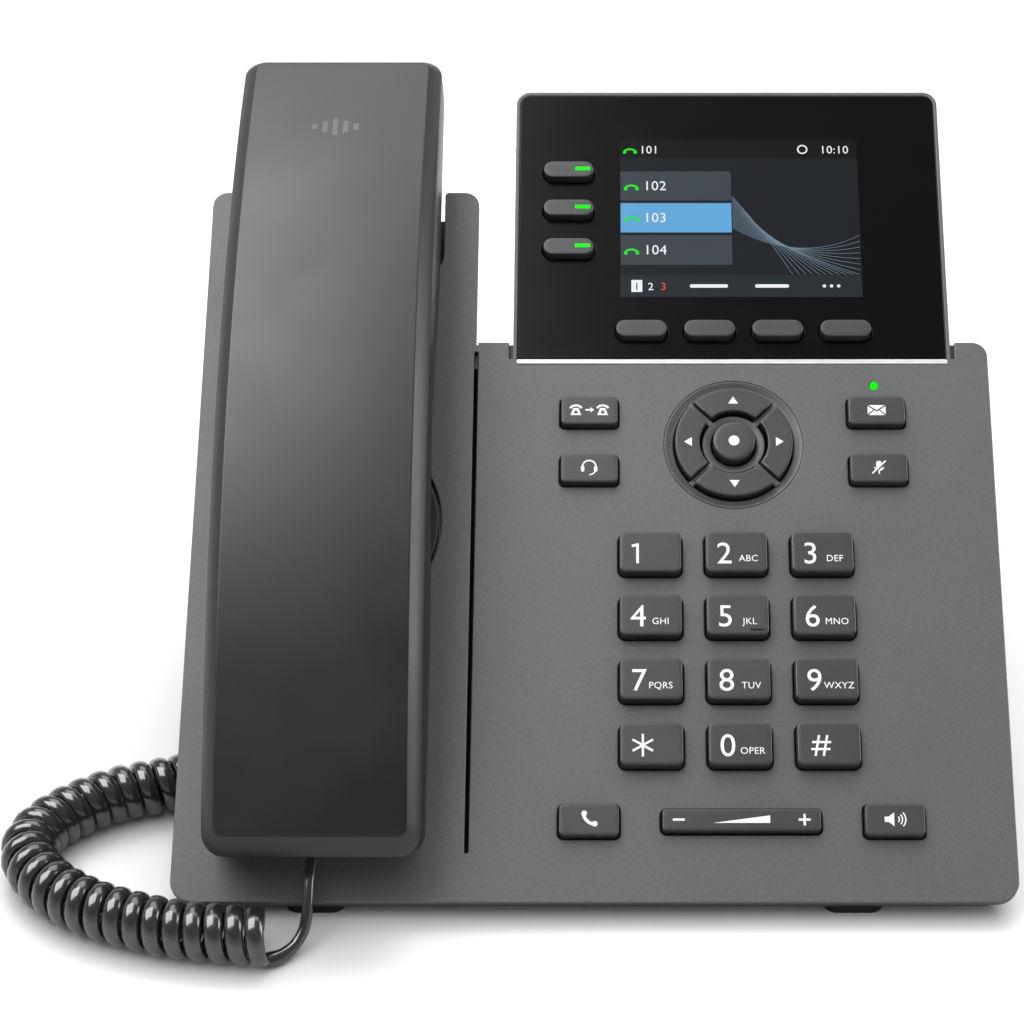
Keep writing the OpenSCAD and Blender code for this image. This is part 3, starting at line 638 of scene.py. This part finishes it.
SCREEN_SHELL = glowing("screen_dark", (0.0137, 0.0159, 0.0194), 1.0)
UI_STATUS = glowing("ui_status", (0.0075, 0.0085, 0.0100), 1.0)
UI_BAR = glowing("ui_bar", (0.021, 0.026, 0.031), 1.0)
UI_ROW = glowing("ui_row", (0.048, 0.058, 0.071), 1.0)
UI_BLUE = glowing("ui_blue", (0.115, 0.36, 0.65), 1.0)
UI_WHITE = glowing("ui_white", (0.80, 0.82, 0.84), 1.0)
UI_GREEN = glowing("ui_green", (0.012, 0.74, 0.014), 1.0)
UI_WAVE = glowing("ui_wave", (0.16, 0.23, 0.30), 1.0)
UI_RED = glowing("ui_red", (0.70, 0.07, 0.05), 1.0)
SCREEN_H0, PRINT_T, UI_TOP, UI_STEP = 0.1, 0.03, 0.02, 0.03
STATUS_BAR_H, SOFT_BAR_H, ROW_W, ROW_H, ROW_PITCH = 5.2, 5.8, 26.6, 8.0, 8.75
WAVES, WAVE_STEPS = 18, 28


def slab_piece(name, outline, h0, h1, material, body="base"):
    finish_piece(sheet_mesh(name, outline, [], h0, h1, 0.01, arc=1), material, body)


def words(name, text, at, size, h, material, align="LEFT", body="base"):
    """Generic characters as a thin raised mesh, with their baseline's start, centre or end at (x, v)."""
    curve = bpy.data.curves.new(name, "FONT")
    curve.body = text
    curve.size = size
    curve.align_x = align
    curve.extrude = PRINT_T / 2
    curve.resolution_u = 4
    curve.space_character = 1.05
    holder = new_object(name + "_text", curve)
    bpy.context.view_layer.update()
    mesh = bpy.data.meshes.new_from_object(holder)
    bpy.data.objects.remove(holder)
    mesh.transform(FACE @ Matrix.Translation((at[0], at[1], h + PRINT_T / 2)))
    clean(mesh, MERGE_GAP)
    finish_piece(new_object(name, mesh), material, body)


def ribbon(name, points, width, h, material, body="base", thick=PRINT_T):
    """A thin flat line of constant width through 2D points."""
    points = [Vector(p) for p in points]
    last = len(points) - 1
    left, right = [], []
    for i, p in enumerate(points):
        way = (points[min(i + 1, last)] - points[max(i - 1, 0)]).normalized()
        side = Vector((-way.y, way.x)) * (width / 2)
        left.append(p + side)
        right.append(p - side)
    outline = left + right[::-1]
    count = len(outline)
    verts = [(p.x, p.y, z) for z in (h, h + thick) for p in outline]
    faces = []
    for base in (0, count):
        faces += [(base + i, base + i + 1, base + count - 2 - i, base + count - 1 - i) for i in range(last)]
    faces += bands(0, 2, count)
    finish_piece(add_mesh(name, verts, faces), material, body)


def handset_icon(name, x, v, size, h, material, body="base"):
    """A generic telephone receiver: an arch with two square ends."""
    arch = [(x + size * math.cos(a), v - 0.3 * size + 0.62 * size * math.sin(a)) for a in
            [math.pi * (0.08 + 0.84 * k / 12) for k in range(13)]]
    ribbon(name, arch, size * 0.34, h, material, body)
    for i, side in enumerate((-1, 1)):
        foot = rect_path(x + side * size * 0.92, v - 0.3 * size, size * 0.55, size * 0.5, 0.1, 2)
        slab_piece(f"{name}_foot_{i + 1}", foot, h, h + 0.035, material, body)


def add_screen():
    x0, x1 = SCREEN_X - SCREEN_W / 2, SCREEN_X + SCREEN_W / 2
    v0, v1 = SCREEN_V - SCREEN_H / 2, SCREEN_V + SCREEN_H / 2
    panel = sheet_mesh("screen_panel", rect_path(SCREEN_X, SCREEN_V, SCREEN_W, SCREEN_H, 0.2, 2), [],
                       SCREEN_H0 - 0.3, SCREEN_H0 + 0.03, 0.02, arc=1)
    finish_piece(panel, SCREEN_SHELL, "base", ["lcd_panel"])
    h = SCREEN_H0 + UI_STEP
    low, high = h + UI_TOP, h + UI_TOP + UI_STEP
    status = rect_path(SCREEN_X, v1 - STATUS_BAR_H / 2, SCREEN_W, STATUS_BAR_H, 0.05, 1)
    slab_piece("ui_status_bar", status, h, low, UI_STATUS)
    soft_v = v0 + SOFT_BAR_H / 2
    slab_piece("ui_soft_bar", rect_path(SCREEN_X, soft_v, SCREEN_W, SOFT_BAR_H, 0.05, 1), h, low, UI_BAR)
    for i, (text, material) in enumerate((("102", UI_ROW), ("103", UI_BLUE), ("104", UI_ROW))):
        row_v = v1 - 12.9 - i * ROW_PITCH
        row = rect_path(x0 + ROW_W / 2 + 0.1, row_v, ROW_W, ROW_H, 0.1, 1)
        slab_piece(f"ui_row_{i + 1}", row, h, low, material)
        handset_icon(f"ui_row_icon_{i + 1}", x0 + 2.7, row_v - 0.4, 1.5, h + UI_STEP, UI_GREEN)
        words(f"ui_row_number_{i + 1}", text, (x0 + 5.6, row_v - 1.2), 3.6, low, UI_WHITE)
    handset_icon("ui_status_icon", x0 + 2.4, v1 - 3.2, 1.4, h + UI_STEP, UI_GREEN)
    words("ui_status_number", "101", (x0 + 4.7, v1 - 3.9), 3.0, low, UI_WHITE)
    words("ui_clock", "10:10", (x1 - 2.0, v1 - 3.9), 3.0, low, UI_WHITE, "RIGHT")
    ring = ring_path(x1 - 13.2, v1 - 2.8, 1.1, 20)
    ribbon("ui_status_ring", ring + ring[:1], 0.35, low, UI_WHITE)
    slab_piece("ui_page_mark", rect_path(x0 + 3.9, soft_v, 2.6, 3.2, 0.1, 1), low, high, UI_WHITE)
    words("ui_page_1", "1", (x0 + 3.9, v0 + 1.8), 2.8, high, UI_BAR, "CENTER")
    words("ui_page_2", "2", (x0 + 7.2, v0 + 1.8), 2.8, low, UI_WHITE, "CENTER")
    words("ui_page_3", "3", (x0 + 10.2, v0 + 1.8), 2.8, low, UI_RED, "CENTER")
    for i, (x, bar) in enumerate(((x0 + 21, 9.0), (x0 + 36, 8.0))):
        slab_piece(f"ui_soft_label_{i + 1}", rect_path(x, soft_v, bar, 0.9, 0.3, 2), low, high, UI_WHITE)
    for i in range(3):
        dot = ring_path(x1 - 9 + i * 1.7, soft_v, 0.42, 12)
        slab_piece(f"ui_more_dot_{i + 1}", dot, low, high, UI_WHITE)
    for i in range(WAVES):
        t = i / (WAVES - 1)
        start = Vector((x0 + 26.9, v1 - 15.8 - 8.5 * t))
        pull = Vector((x0 + 34.7 + 7.6 * t, v1 - 25.8 - 8.5 * t))
        end = Vector((x0 + 41 + 16.2 * min(1, t / 0.6), v1 - 37 + 10.5 * max(0, (t - 0.6) / 0.4)))
        steps = [k / WAVE_STEPS for k in range(WAVE_STEPS + 1)]
        wave = [start * (1 - s) ** 2 + pull * 2 * s * (1 - s) + end * s * s for s in steps]
        ribbon(f"ui_wave_{i + 1}", wave, 0.10, h, UI_WAVE, thick=UI_TOP)


add_screen()


# ---- Keys ----

def body_of_key(node):
    return node + "_body"


def mark_shape(name, points, node, h, material=LEGEND):
    slab_piece(name, points, h, h + PRINT_T, material, body_of_key(node))


def mark_line(name, points, width, node, h, material=LEGEND):
    ribbon(name, points, width, h, material, body_of_key(node))


SIDE_ROWS = 3


def finish_cap(piece, node, side_faces):
    """Makes a piece the cap of a key, whose first side_faces faces are its side wall, given a darker copy of
    the key plastic as painted shade.
    """
    finish_piece(piece, KEY, body_of_key(node), [node])
    piece.data.materials.append(KEY_SIDE_SHADE)
    for polygon in piece.data.polygons:
        polygon.material_index = 1 if polygon.index < side_faces else 0


def rounded_key(node, at, size, r, rise, bevel, taper):
    """A key cap: straight sides, a rounded shoulder and a nearly flat top."""
    def ring(grow, h):
        w, d = size[0] + 2 * grow, size[1] + 2 * grow
        corner = min(max(0.12, r + grow), d / 2 - 0.01)
        return [(x, v, h) for x, v in rect_path(at[0], at[1], w, d, corner)]
    rings = [ring(-0.6, -3.6), ring(-0.05, -3.4), ring(0, -2.4), ring(-taper * 0.4, rise - bevel)]
    for k in range(1, 6):
        a = math.pi / 2 * k / 5
        rings.append(ring(-taper * 0.4 - bevel * (1 - math.cos(a)), rise - bevel * (1 - math.sin(a))))
    rings.append(ring(-bevel - taper - 0.6, rise))
    piece = stack_mesh(node + "_cap", rings)
    finish_cap(piece, node, SIDE_ROWS * len(rings[0]))


DIAL_RISE, PILL_RISE, SIDE_RISE, VOLUME_RISE, NAV_RISE, OK_RISE = 2.9, 2.4, 2.2, 2.0, 1.6, 2.2
LEGEND_LIFT, STROKE_LIFT = 0.005, 0.002
LINE_W, STEM_W = 0.5, 0.62
DIGIT_SIZE, LETTER_SIZE = 7.4, 2.2
LETTERS_X = {"4": 2.2, "7": 2.1}
LETTERS = {"2": "ABC", "3": "DEF", "4": "GHI", "5": "JKL", "6": "MNO", "7": "PQRS", "8": "TUV",
           "9": "WXYZ", "0": "OPER"}
HASH_LINES = (((-2.0, 0.8), (2.2, 0.8)), ((-2.2, -0.8), (2.0, -0.8)), ((-1.3, -2.4), (-0.4, 2.4)),
              ((0.5, -2.4), (1.4, 2.4)))
ONE_LINES = (("legend_1", (0, 0), (0, 4.8)), ("legend_1_flag", (-1.3, 4.2), (0.3, 4.6)))


def add_dial_keys():
    h = DIAL_RISE + LEGEND_LIFT
    for node, (x, v) in DIAL_KEYS.items():
        rounded_key(node, (x, v), DIAL, DIAL_R, DIAL_RISE, bevel=0.4, taper=0.15)
        mark = node.split("_")[1]
        lines = []
        if mark == "star":
            centre = Vector((x - 1.95, v - 0.4))
            for i in range(3):
                a = math.pi * (i / 3 + 0.5)
                arm = Vector((math.cos(a), math.sin(a))) * 2.6
                lines.append((f"legend_star_{i + 1}", centre - arm, centre + arm, LINE_W))
        elif mark == "hash":
            centre = Vector((x - 1.75, v - 0.5))
            for i, (p, q) in enumerate(HASH_LINES):
                lines.append((f"legend_hash_{i + 1}", centre + Vector(p), centre + Vector(q), LINE_W))
        elif mark == "1":
            foot = Vector((x - 2.9, v - 2.9))
            lines = [(name, foot + Vector(p), foot + Vector(q), STEM_W) for name, p, q in ONE_LINES]
        else:
            words(f"legend_{mark}", mark, (x - 2.75, v - 2.95), DIGIT_SIZE, h, LEGEND, "CENTER",
                  body_of_key(node))
        for i, (name, start, end, width) in enumerate(lines):
            mark_line(name, [start, end], width, node, h + i * STROKE_LIFT)
        if mark in LETTERS:
            words(f"letters_{mark}", LETTERS[mark], (x + LETTERS_X.get(mark, 2.7), v - 2.4), LETTER_SIZE,
                  h, LEGEND, "CENTER", body_of_key(node))
    x, v = DIAL_KEYS["key_5"]
    rings = []
    for shrink, z in ((0, DIAL_RISE - 0.1), (0, DIAL_RISE + 0.2), (0.25, DIAL_RISE + 0.35)):
        loop = rect_path(x + 4.4, v - 3.4, 3.0 - shrink, 0.7 - shrink, 0.3 - shrink / 2, 4)
        rings.append([(px, pv, z) for px, pv in loop])
    finish_piece(stack_mesh("key_5_pip", rings), BLACK, body_of_key("key_5"))


def add_pill_keys():
    for node, at in (*LINE_KEYS.items(), *SOFT_KEYS.items()):
        rounded_key(node, at, PILL, PILL_R, PILL_RISE, bevel=0.3, taper=0.1)
    for i, (node, (x, v)) in enumerate(LINE_KEYS.items()):
        bar = sheet_mesh(f"line_lamp_{i + 1}", rect_path(x + 3.4, v + 0.1, 3.7, 1.0, 0.25, 3), [],
                         PILL_RISE - 0.1, PILL_RISE + 0.05, 0.04)
        finish_piece(bar, LAMP, body_of_key(node))


def arrow_outline(outer, turn, gap=1.0, inner=7.9):
    """A quarter of a ring with straight ends parallel to the diagonals, turned by turn."""
    def reach(r):
        return math.asin(gap / (r * math.sqrt(2)))
    points = []
    for r, sign in ((outer, 1), (inner, -1)):
        a0, a1 = math.pi / 4 + reach(r), 3 * math.pi / 4 - reach(r)
        arc = [(r, a0 + (a1 - a0) * k / 16) for k in range(17)]
        points += arc if sign > 0 else arc[::-1]
    return [(HEAD_X + r * math.cos(a + turn), NAV_V + r * math.sin(a + turn)) for r, a in points]


def add_nav_keys():
    rise = NAV_RISE
    arc = [math.pi / 2 * k / 5 for k in range(1, 6)]
    levels = [(0.0, -2.25), (0.0, rise - 0.4)]
    levels += [(0.3 * (1 - math.cos(a)), rise - 0.3 * (1 - math.sin(a))) for a in arc]
    levels.append((0.7, rise))
    for node, turn in (("arrow_up", 0), ("arrow_left", 1), ("arrow_down", 2), ("arrow_right", 3)):
        angle = turn * math.pi / 2
        outline = arrow_outline(13.6, angle)
        rings = [[(x, v, h) for x, v in inset(outline, amount)] for amount, h in levels]
        finish_cap(stack_mesh(node + "_cap", rings), node, len(outline))
        corners = [Vector((0, 11.5)), Vector((-1.15, 9.7)), Vector((1.15, 9.7))]
        outline = []
        for corner in corners:
            corner.rotate(Matrix.Rotation(angle, 2))
            outline.append((HEAD_X + corner.x, NAV_V + corner.y))
        slab_piece(node + "_mark", outline, rise - 0.02, rise + 0.03, LEGEND, body_of_key(node))
    profile = [(OK_R - 0.05, -2.25), (OK_R, -2.0), (OK_R, OK_RISE - 0.45), (OK_R - 0.04, OK_RISE - 0.25),
               (OK_R - 0.16, OK_RISE - 0.1), (OK_R - 0.4, OK_RISE - 0.02), (OK_R - 1, OK_RISE),
               (2.0, OK_RISE)]
    finish_cap(lathe("ok_key_cap", profile, HEAD_X, NAV_V), "ok_key", 2 * LATHE_STEPS)
    dot_outline = ring_path(HEAD_X, NAV_V, 1.25, 32)
    dot = sheet_mesh("ok_key_dot", dot_outline, [], OK_RISE - 0.05, OK_RISE + 0.04, 0.02, arc=1)
    finish_piece(dot, LEGEND, body_of_key("ok_key"))


add_dial_keys()
add_pill_keys()
add_nav_keys()


# ---- Function keys and their marks ----

def arc_points(cx, cv, r, a0, a1, squash=1.0, steps=13):
    """Points on an arc from a0 to a1 degrees, flattened along v by squash."""
    angles = [math.radians(a0 + (a1 - a0) * k / steps) for k in range(steps + 1)]
    return [(cx + r * math.cos(a), cv + squash * r * math.sin(a)) for a in angles]


def small_phone(name, x, v, node, h):
    """A generic desk telephone: a receiver arch over a trapezoid body."""
    mark_line(name + "_receiver", arc_points(x, v - 0.1, 1.45, 25, 155, squash=0.85), 0.5, node, h)
    mark_shape(name + "_body", [(x - 1.25, v - 1.35), (x + 1.25, v - 1.35), (x + 0.6, v + 0.45),
                                (x - 0.6, v + 0.45)], node, h)
    mark_shape(name + "_dial", ring_path(x, v - 0.6, 0.42, 24), node, h + 0.01, KEY)


def add_function_keys():
    for node, at in SIDE_KEYS.items():
        rounded_key(node, at, SIDE, SIDE_R, SIDE_RISE, bevel=0.35, taper=0.1)
    h = SIDE_RISE + LEGEND_LIFT
    over, far_over = h + 0.003, h + 0.006

    key, (x, v) = "transfer_key", SIDE_KEYS["transfer_key"]
    small_phone("transfer_from", x - 3.1, v, key, h)
    small_phone("transfer_to", x + 3.1, v, key, h)
    mark_line("transfer_shaft", [(x - 0.9, v), (x + 0.4, v)], 0.4, key, h)
    mark_shape("transfer_tip", [(x + 0.3, v - 0.7), (x + 1.1, v), (x + 0.3, v + 0.7)], key, h)

    key, (x, v) = "headset_key", SIDE_KEYS["headset_key"]
    mark_line("headset_band", arc_points(x, v + 0.2, 1.55, -10, 190), 0.36, key, h)
    for i, side in enumerate((-1, 1)):
        cup = rect_path(x + side * 1.5, v - 0.35, 0.8, 1.4, 0.3, 3)
        mark_shape(f"headset_cup_{i + 1}", cup, key, over)
    mark_line("headset_boom", arc_points(x, v - 0.4, 1.5, -90, -20, squash=0.95), 0.3, key, far_over)

    key, (x, v) = "message_key", SIDE_KEYS["message_key"]
    mark_shape("envelope_top", [(x - 1.9, v + 1.2), (x, v - 0.05), (x + 1.9, v + 1.2)], key, h)
    mark_shape("envelope_left", [(x - 2.1, v + 0.95), (x - 2.1, v - 1.1), (x - 0.75, v + 0.05)], key, h)
    mark_shape("envelope_right", [(x + 2.1, v + 0.95), (x + 0.75, v + 0.05), (x + 2.1, v - 1.1)], key, h)
    mark_shape("envelope_foot", [(x - 1.9, v - 1.35), (x + 1.9, v - 1.35), (x + 0.5, v - 0.1),
                                 (x, v - 0.45), (x - 0.5, v - 0.1)], key, h)

    key, (x, v) = "mute_key", SIDE_KEYS["mute_key"]
    mark_shape("mute_mic", rect_path(x, v + 0.5, 1.3, 2.3, 0.6, 4), key, h)
    mark_line("mute_cradle", arc_points(x, v + 0.3, 1.05, 190, 350), 0.28, key, over)
    mark_line("mute_post", [(x, v - 0.8), (x, v - 1.6)], 0.3, key, far_over)
    mark_line("mute_gap", [(x - 1.2, v - 1.35), (x + 1.4, v + 1.4)], 0.75, key, h + 0.012, KEY)
    mark_line("mute_slash", [(x - 1.6, v - 1.5), (x + 1.6, v + 1.7)], 0.34, key, h + 0.02)

    key, (x, v) = "send_key", SIDE_KEYS["send_key"]
    mark_line("send_receiver", arc_points(x + 1.5, v + 1.6, 2.7, 185, 265), 0.7, key, h)
    mark_shape("send_ear", ring_path(x - 1.0, v + 1.35, 0.62, 24), key, over)
    mark_shape("send_mouth", ring_path(x + 1.3, v - 1.0, 0.62, 24), key, over)

    key, (x, v) = "speaker_key", SIDE_KEYS["speaker_key"]
    mark_shape("speaker_cone", [(x - 2.3, v - 0.6), (x - 1.4, v - 0.6), (x - 0.2, v - 1.6),
                                (x - 0.2, v + 1.6), (x - 1.4, v + 0.6), (x - 2.3, v + 0.6)], key, h)
    for i, r in enumerate((0.9, 1.6, 2.3)):
        mark_line(f"speaker_wave_{i + 1}", arc_points(x, v, r, -42, 42), 0.28, key, h)


def add_volume_key():
    x, v = HEAD_X, BOTTOM_V
    rounded_key("volume_key", (x, v), VOLUME, VOLUME_R, VOLUME_RISE, bevel=0.35, taper=0.1)
    h = VOLUME_RISE + LEGEND_LIFT
    mark_line("volume_less", [(x - 15.0, v), (x - 12.4, v)], LINE_W, "volume_key", h)
    mark_line("volume_more", [(x + 12.4, v), (x + 15.0, v)], LINE_W, "volume_key", h)
    mark_line("volume_more_post", [(x + 13.7, v - 1.3), (x + 13.7, v + 1.3)], LINE_W, "volume_key", h + 0.003)
    wedge = [(x - 6.2, v - 0.75), (x + 6.2, v - 0.75), (x + 6.2, v + 0.95)]
    mark_shape("volume_wedge", wedge, "volume_key", h)


add_function_keys()
add_volume_key()


# ---- Handset ----

HS_W, HS_V0, HS_V1, HS_CROWN, HS_RADIUS, HS_MID_V = 46.8, 8, 202, 35.7, 290, 105
SHOULDER = 3.2
EAR_V, EAR_HOLE_RING = 172, 6
SCREW_V = (62, 150)
UNDER_H, GRIP_V0, GRIP_V1, GRIP_RISE = 3, 62, 146, 12
CORNER, CHAMFER, CHAMFER_EDGE = 5.0, 3.0, 0.3
LOW_END, WALL_LEAN = 2, 3
CORNER_STEPS, SPAN_STEPS = 9, 64


def crown_h(v):
    return HS_CROWN - HS_RADIUS + math.sqrt(HS_RADIUS ** 2 - (v - HS_MID_V) ** 2)


def under_h(v):
    """Height of the underside, which arches up along the grip."""
    along = min(1, max(0, (v - GRIP_V0) / (GRIP_V1 - GRIP_V0)))
    return UNDER_H + GRIP_RISE * (0.5 - 0.5 * math.cos(2 * math.pi * along)) ** 0.6


def part_h(v):
    """Height of the seam between the cover and the underside."""
    return max(under_h(v) + 2.6, crown_h(v) - SHOULDER - 9)


def left_chain(depth, low_shift=0.0):
    """The left half of the handset's rounded outline, moved in by depth, from the low end to the top."""
    w, r = HS_W / 2, CORNER - depth
    low, high = HS_V0 + depth + low_shift + r, HS_V1 - CORNER
    chain = []
    for k in range(CORNER_STEPS):
        a = math.pi / 2 * k / CORNER_STEPS
        chain.append((-(w - CORNER) - r * math.sin(a), low - r * math.cos(a)))
    for k in range(SPAN_STEPS + 1):
        chain.append((-(w - depth), low + (high - low) * k / SPAN_STEPS))
    for k in range(1, CORNER_STEPS + 1):
        a = math.pi / 2 * k / CORNER_STEPS
        chain.append((-(w - CORNER) - r * math.cos(a), high + r * math.sin(a)))
    return chain


def half_shell(name, levels):
    """A skin through outlines moved in by depth, moved up at the low end and raised to height(v)."""
    half = len(left_chain(0))
    verts = []
    for depth, low_shift, height in levels:
        chain = left_chain(depth, low_shift)
        verts += [(HS_X + x, v, height(v)) for x, v in chain]
        verts += [(HS_X - x, v, height(v)) for x, v in reversed(chain)]
    count = 2 * half
    faces = bands(0, len(levels), count)
    for start in (0, (len(levels) - 1) * count):
        faces += [(start + i, start + i + 1, start + count - 2 - i, start + count - 1 - i)
                  for i in range(half - 1)]
    piece = add_mesh(name, verts, faces, range(len(faces)))
    sharp = piece.modifiers.new("shading", "EDGE_SPLIT")
    sharp.split_angle = math.radians(28)
    return piece


def add_handset():
    def chamfer_level(depth, drop):
        return depth, -LOW_END, lambda v: crown_h(v) - drop

    def under_level(depth, lift):
        return depth, WALL_LEAN - LOW_END, lambda v: under_h(v) + lift
    edge = CHAMFER_EDGE
    cover = half_shell("handset_shell", [
        (0, WALL_LEAN - LOW_END, part_h), chamfer_level(0, SHOULDER + edge),
        chamfer_level(edge * 0.3, SHOULDER), chamfer_level(CHAMFER * 0.5, SHOULDER * 0.5),
        chamfer_level(CHAMFER - edge * 0.5, edge * 0.5), chamfer_level(CHAMFER, edge * 0.15),
        chamfer_level(CHAMFER + edge, 0)])
    finish_piece(cover, HANDSET, "handset", ["handset_cover"])
    back = half_shell("handset_underside", [
        (0.05, WALL_LEAN - LOW_END, lambda v: part_h(v) - 0.12), under_level(0.05, 2.4),
        under_level(0.35, 1.2), under_level(1.1, 0.35), under_level(2.4, 0)])
    finish_piece(back, HANDSET, "handset", ["handset_back"])


def add_handset_cups():
    """The ear and mouth pads under the handset, with their sound openings."""
    holes = [ring_path(x, v, 1.2, 16) for x, v in ring_path(HS_X, EAR_V, EAR_HOLE_RING, 6)]
    ear = sheet_mesh("ear_cup", rect_path(HS_X, EAR_V, 36, 30, 6), holes, -6.5, 4, 0.3, 0.8)
    finish_piece(ear, HANDSET, "handset")
    slot = rect_path(HS_X, MOUTH_V, 8, 2, 0.9, 3)
    mouth = sheet_mesh("mouth_cup", rect_path(HS_X, MOUTH_V, 34, 26, 6), [slot], -4, 4, 0.3, 0.8)
    finish_piece(mouth, HANDSET, "handset")


def add_screw_plugs():
    """Flush plugs over the two screws in the handset's underside."""
    for i, v in enumerate(SCREW_V):
        h = under_h(v)
        profile = [(2.6, h + 1.1), (2.6, h - 0.1), (2.4, h - 0.25), (0.3, h - 0.25)]
        plug = lathe(f"screw_plug_{i + 1}", profile, HS_X, v)
        finish_piece(plug, HANDSET, "handset")


BAR_HEIGHTS, BAR_X, BAR_PITCH, BAR_V = (1.6, 3.4, 5.4, 3.8, 2.2), -5.2, 2.4, 177.6


def add_sound_mark():
    """A row of upright bars like a level meter, printed on the handset's upper end."""
    for i, tall in enumerate(BAR_HEIGHTS):
        x, mid_v = HS_X + BAR_X + i * BAR_PITCH, BAR_V
        verts = []
        for k in range(4):
            v = mid_v - tall / 2 + tall * k / 3
            for dx, dh in ((-0.6, -0.1), (0.6, -0.1), (0.6, 0.04), (-0.6, 0.04)):
                verts.append((x + dx, v, crown_h(v) + dh))
        bar = add_mesh(f"sound_mark_{i + 1}", verts, bands(0, 4, 4) + [(0, 1, 2, 3), (12, 13, 14, 15)])
        finish_piece(bar, PRINT, "handset")


add_sound_mark()
add_handset()
add_handset_cups()
add_screw_plugs()


# ---- Carried-over CAD nodes ----

def dress(node, material, bevel=0.0):
    piece = NODES[node]
    piece.data.materials.clear()
    piece.data.materials.append(material)
    if bevel:
        rounding = piece.modifiers.new("edge", "BEVEL")
        rounding.width = bevel * MM
        rounding.segments = 2
        rounding.limit_method = "ANGLE"
        rounding.angle_limit = math.radians(40)


PORT_X, PORT_Z = (10, 31), 72
CONTACTS, CONTACT_PITCH, CONTACT_W = 8, 1.02, 0.36


def add_port_contacts():
    """Gold contact springs at the roof of each of the two network sockets."""
    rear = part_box("network_ports")[1].y / MM
    half = CONTACT_W / 2
    for port, centre_x in enumerate(PORT_X):
        for i in range(CONTACTS):
            x = centre_x + (i - (CONTACTS - 1) / 2) * CONTACT_PITCH
            verts = []
            for inward, z in ((3, PORT_Z + 2.2), (9, PORT_Z + 0.4)):
                for dx, dz in ((-half, 0), (half, 0), (half, CONTACT_W), (-half, CONTACT_W)):
                    verts.append((x + dx, rear - inward, z + dz))
            faces = [(0, 1, 2, 3), (4, 5, 6, 7)] + bands(0, 2, 4)
            spring = add_mesh(f"port_{port + 1}_contact_{i + 1}", verts, faces, place=WORLD)
            finish_piece(spring, GOLD, "base")


DRESSING = [(CASE, 0.5, ("bottom_shell",)), (CASE, 0.8, ("desk_stand",)), (CASE, 0.4, ("hook_plunger",)),
            (RUBBER, 0.4, ("rubber_feet",)), (LAMP, 0, ("message_lamp",)), (BOARD, 0, ("main_board",)),
            (MAT, 0, ("key_mat",)), (STEEL, 0, ("loudspeaker", "ear_speaker", "handset_weight")),
            (PLATED, 0, ("network_ports", "case_screws", "handset_screws", "mic_capsule")),
            (BLACK, 0, ("handset_port", "headset_port", "power_port")),
            (PLUG, 0.3, ("handset_plug", "base_plug"))]


def dress_nodes():
    for material, bevel, nodes in DRESSING:
        for node in nodes:
            dress(node, material, bevel)


add_port_contacts()
dress_nodes()


# ---- Floor, light and finish ----

def add_floor():
    bpy.ops.mesh.primitive_plane_add(size=6, location=(0, 0.6, 0))
    floor = bpy.context.object
    floor.name = "floor"
    mat, tree, shader = node_material("floor_paper", (0.92, 0.92, 0.92), 0.9)
    mottle(tree, noise(tree, 12, 3), (0.90, 0.90, 0.90), (0.93, 0.93, 0.93), shader.inputs["Base Color"])
    floor.data.materials.append(mat)


def add_area(name, location, target, width, length, power):
    """A rectangular lamp, with its sizes in metres and its power in watts."""
    data = bpy.data.lights.new(name, "AREA")
    data.shape = "RECTANGLE"
    data.size = width
    data.size_y = length
    data.energy = power
    lamp = new_object(name, data)
    lamp.location = location
    lamp.rotation_euler = (Vector(target) - Vector(location)).to_track_quat("-Z", "Y").to_euler()
    return lamp


def add_world():
    """A white studio that is bright at the horizon and dimmer overhead."""
    world = bpy.data.worlds.new("studio")
    world.use_nodes = True
    tree = world.node_tree
    background = tree.nodes["Background"]
    set_inputs(background, Color=(1, 1, 1, 1))
    coords = tree.nodes.new("ShaderNodeTexCoord")
    parts = tree.nodes.new("ShaderNodeSeparateXYZ")
    tree.links.new(coords.outputs["Generated"], parts.inputs["Vector"])
    vary(tree, parts.outputs["Z"], 0.9, 0.25, background.inputs["Strength"], 0.15, 0.45)
    bpy.context.scene.world = world


def add_lights():
    """Two lamps overhead, and two at the sides that show only as sheen."""
    aim = (0, 0, 0.05)
    fill = add_area("overhead_fill", (0.0, 0.0, 1.9), (0, 0, 0), 3.2, 3.2, 52)
    fill.visible_glossy = False
    add_area("overhead_back", (0.0, 0.62, 1.0), aim, 1.1, 0.8, 9)
    left = add_area("left_reflection", (-0.56, 0.0, 1.0), aim, 0.8, 1.0, 23)
    right = add_area("right_reflection", (1.0, 0.1, 0.5), aim, 0.6, 0.8, 11)
    left.visible_diffuse = False
    right.visible_diffuse = False


add_floor()
add_world()
add_lights()
bpy.context.scene.view_settings.view_transform = "Standard"
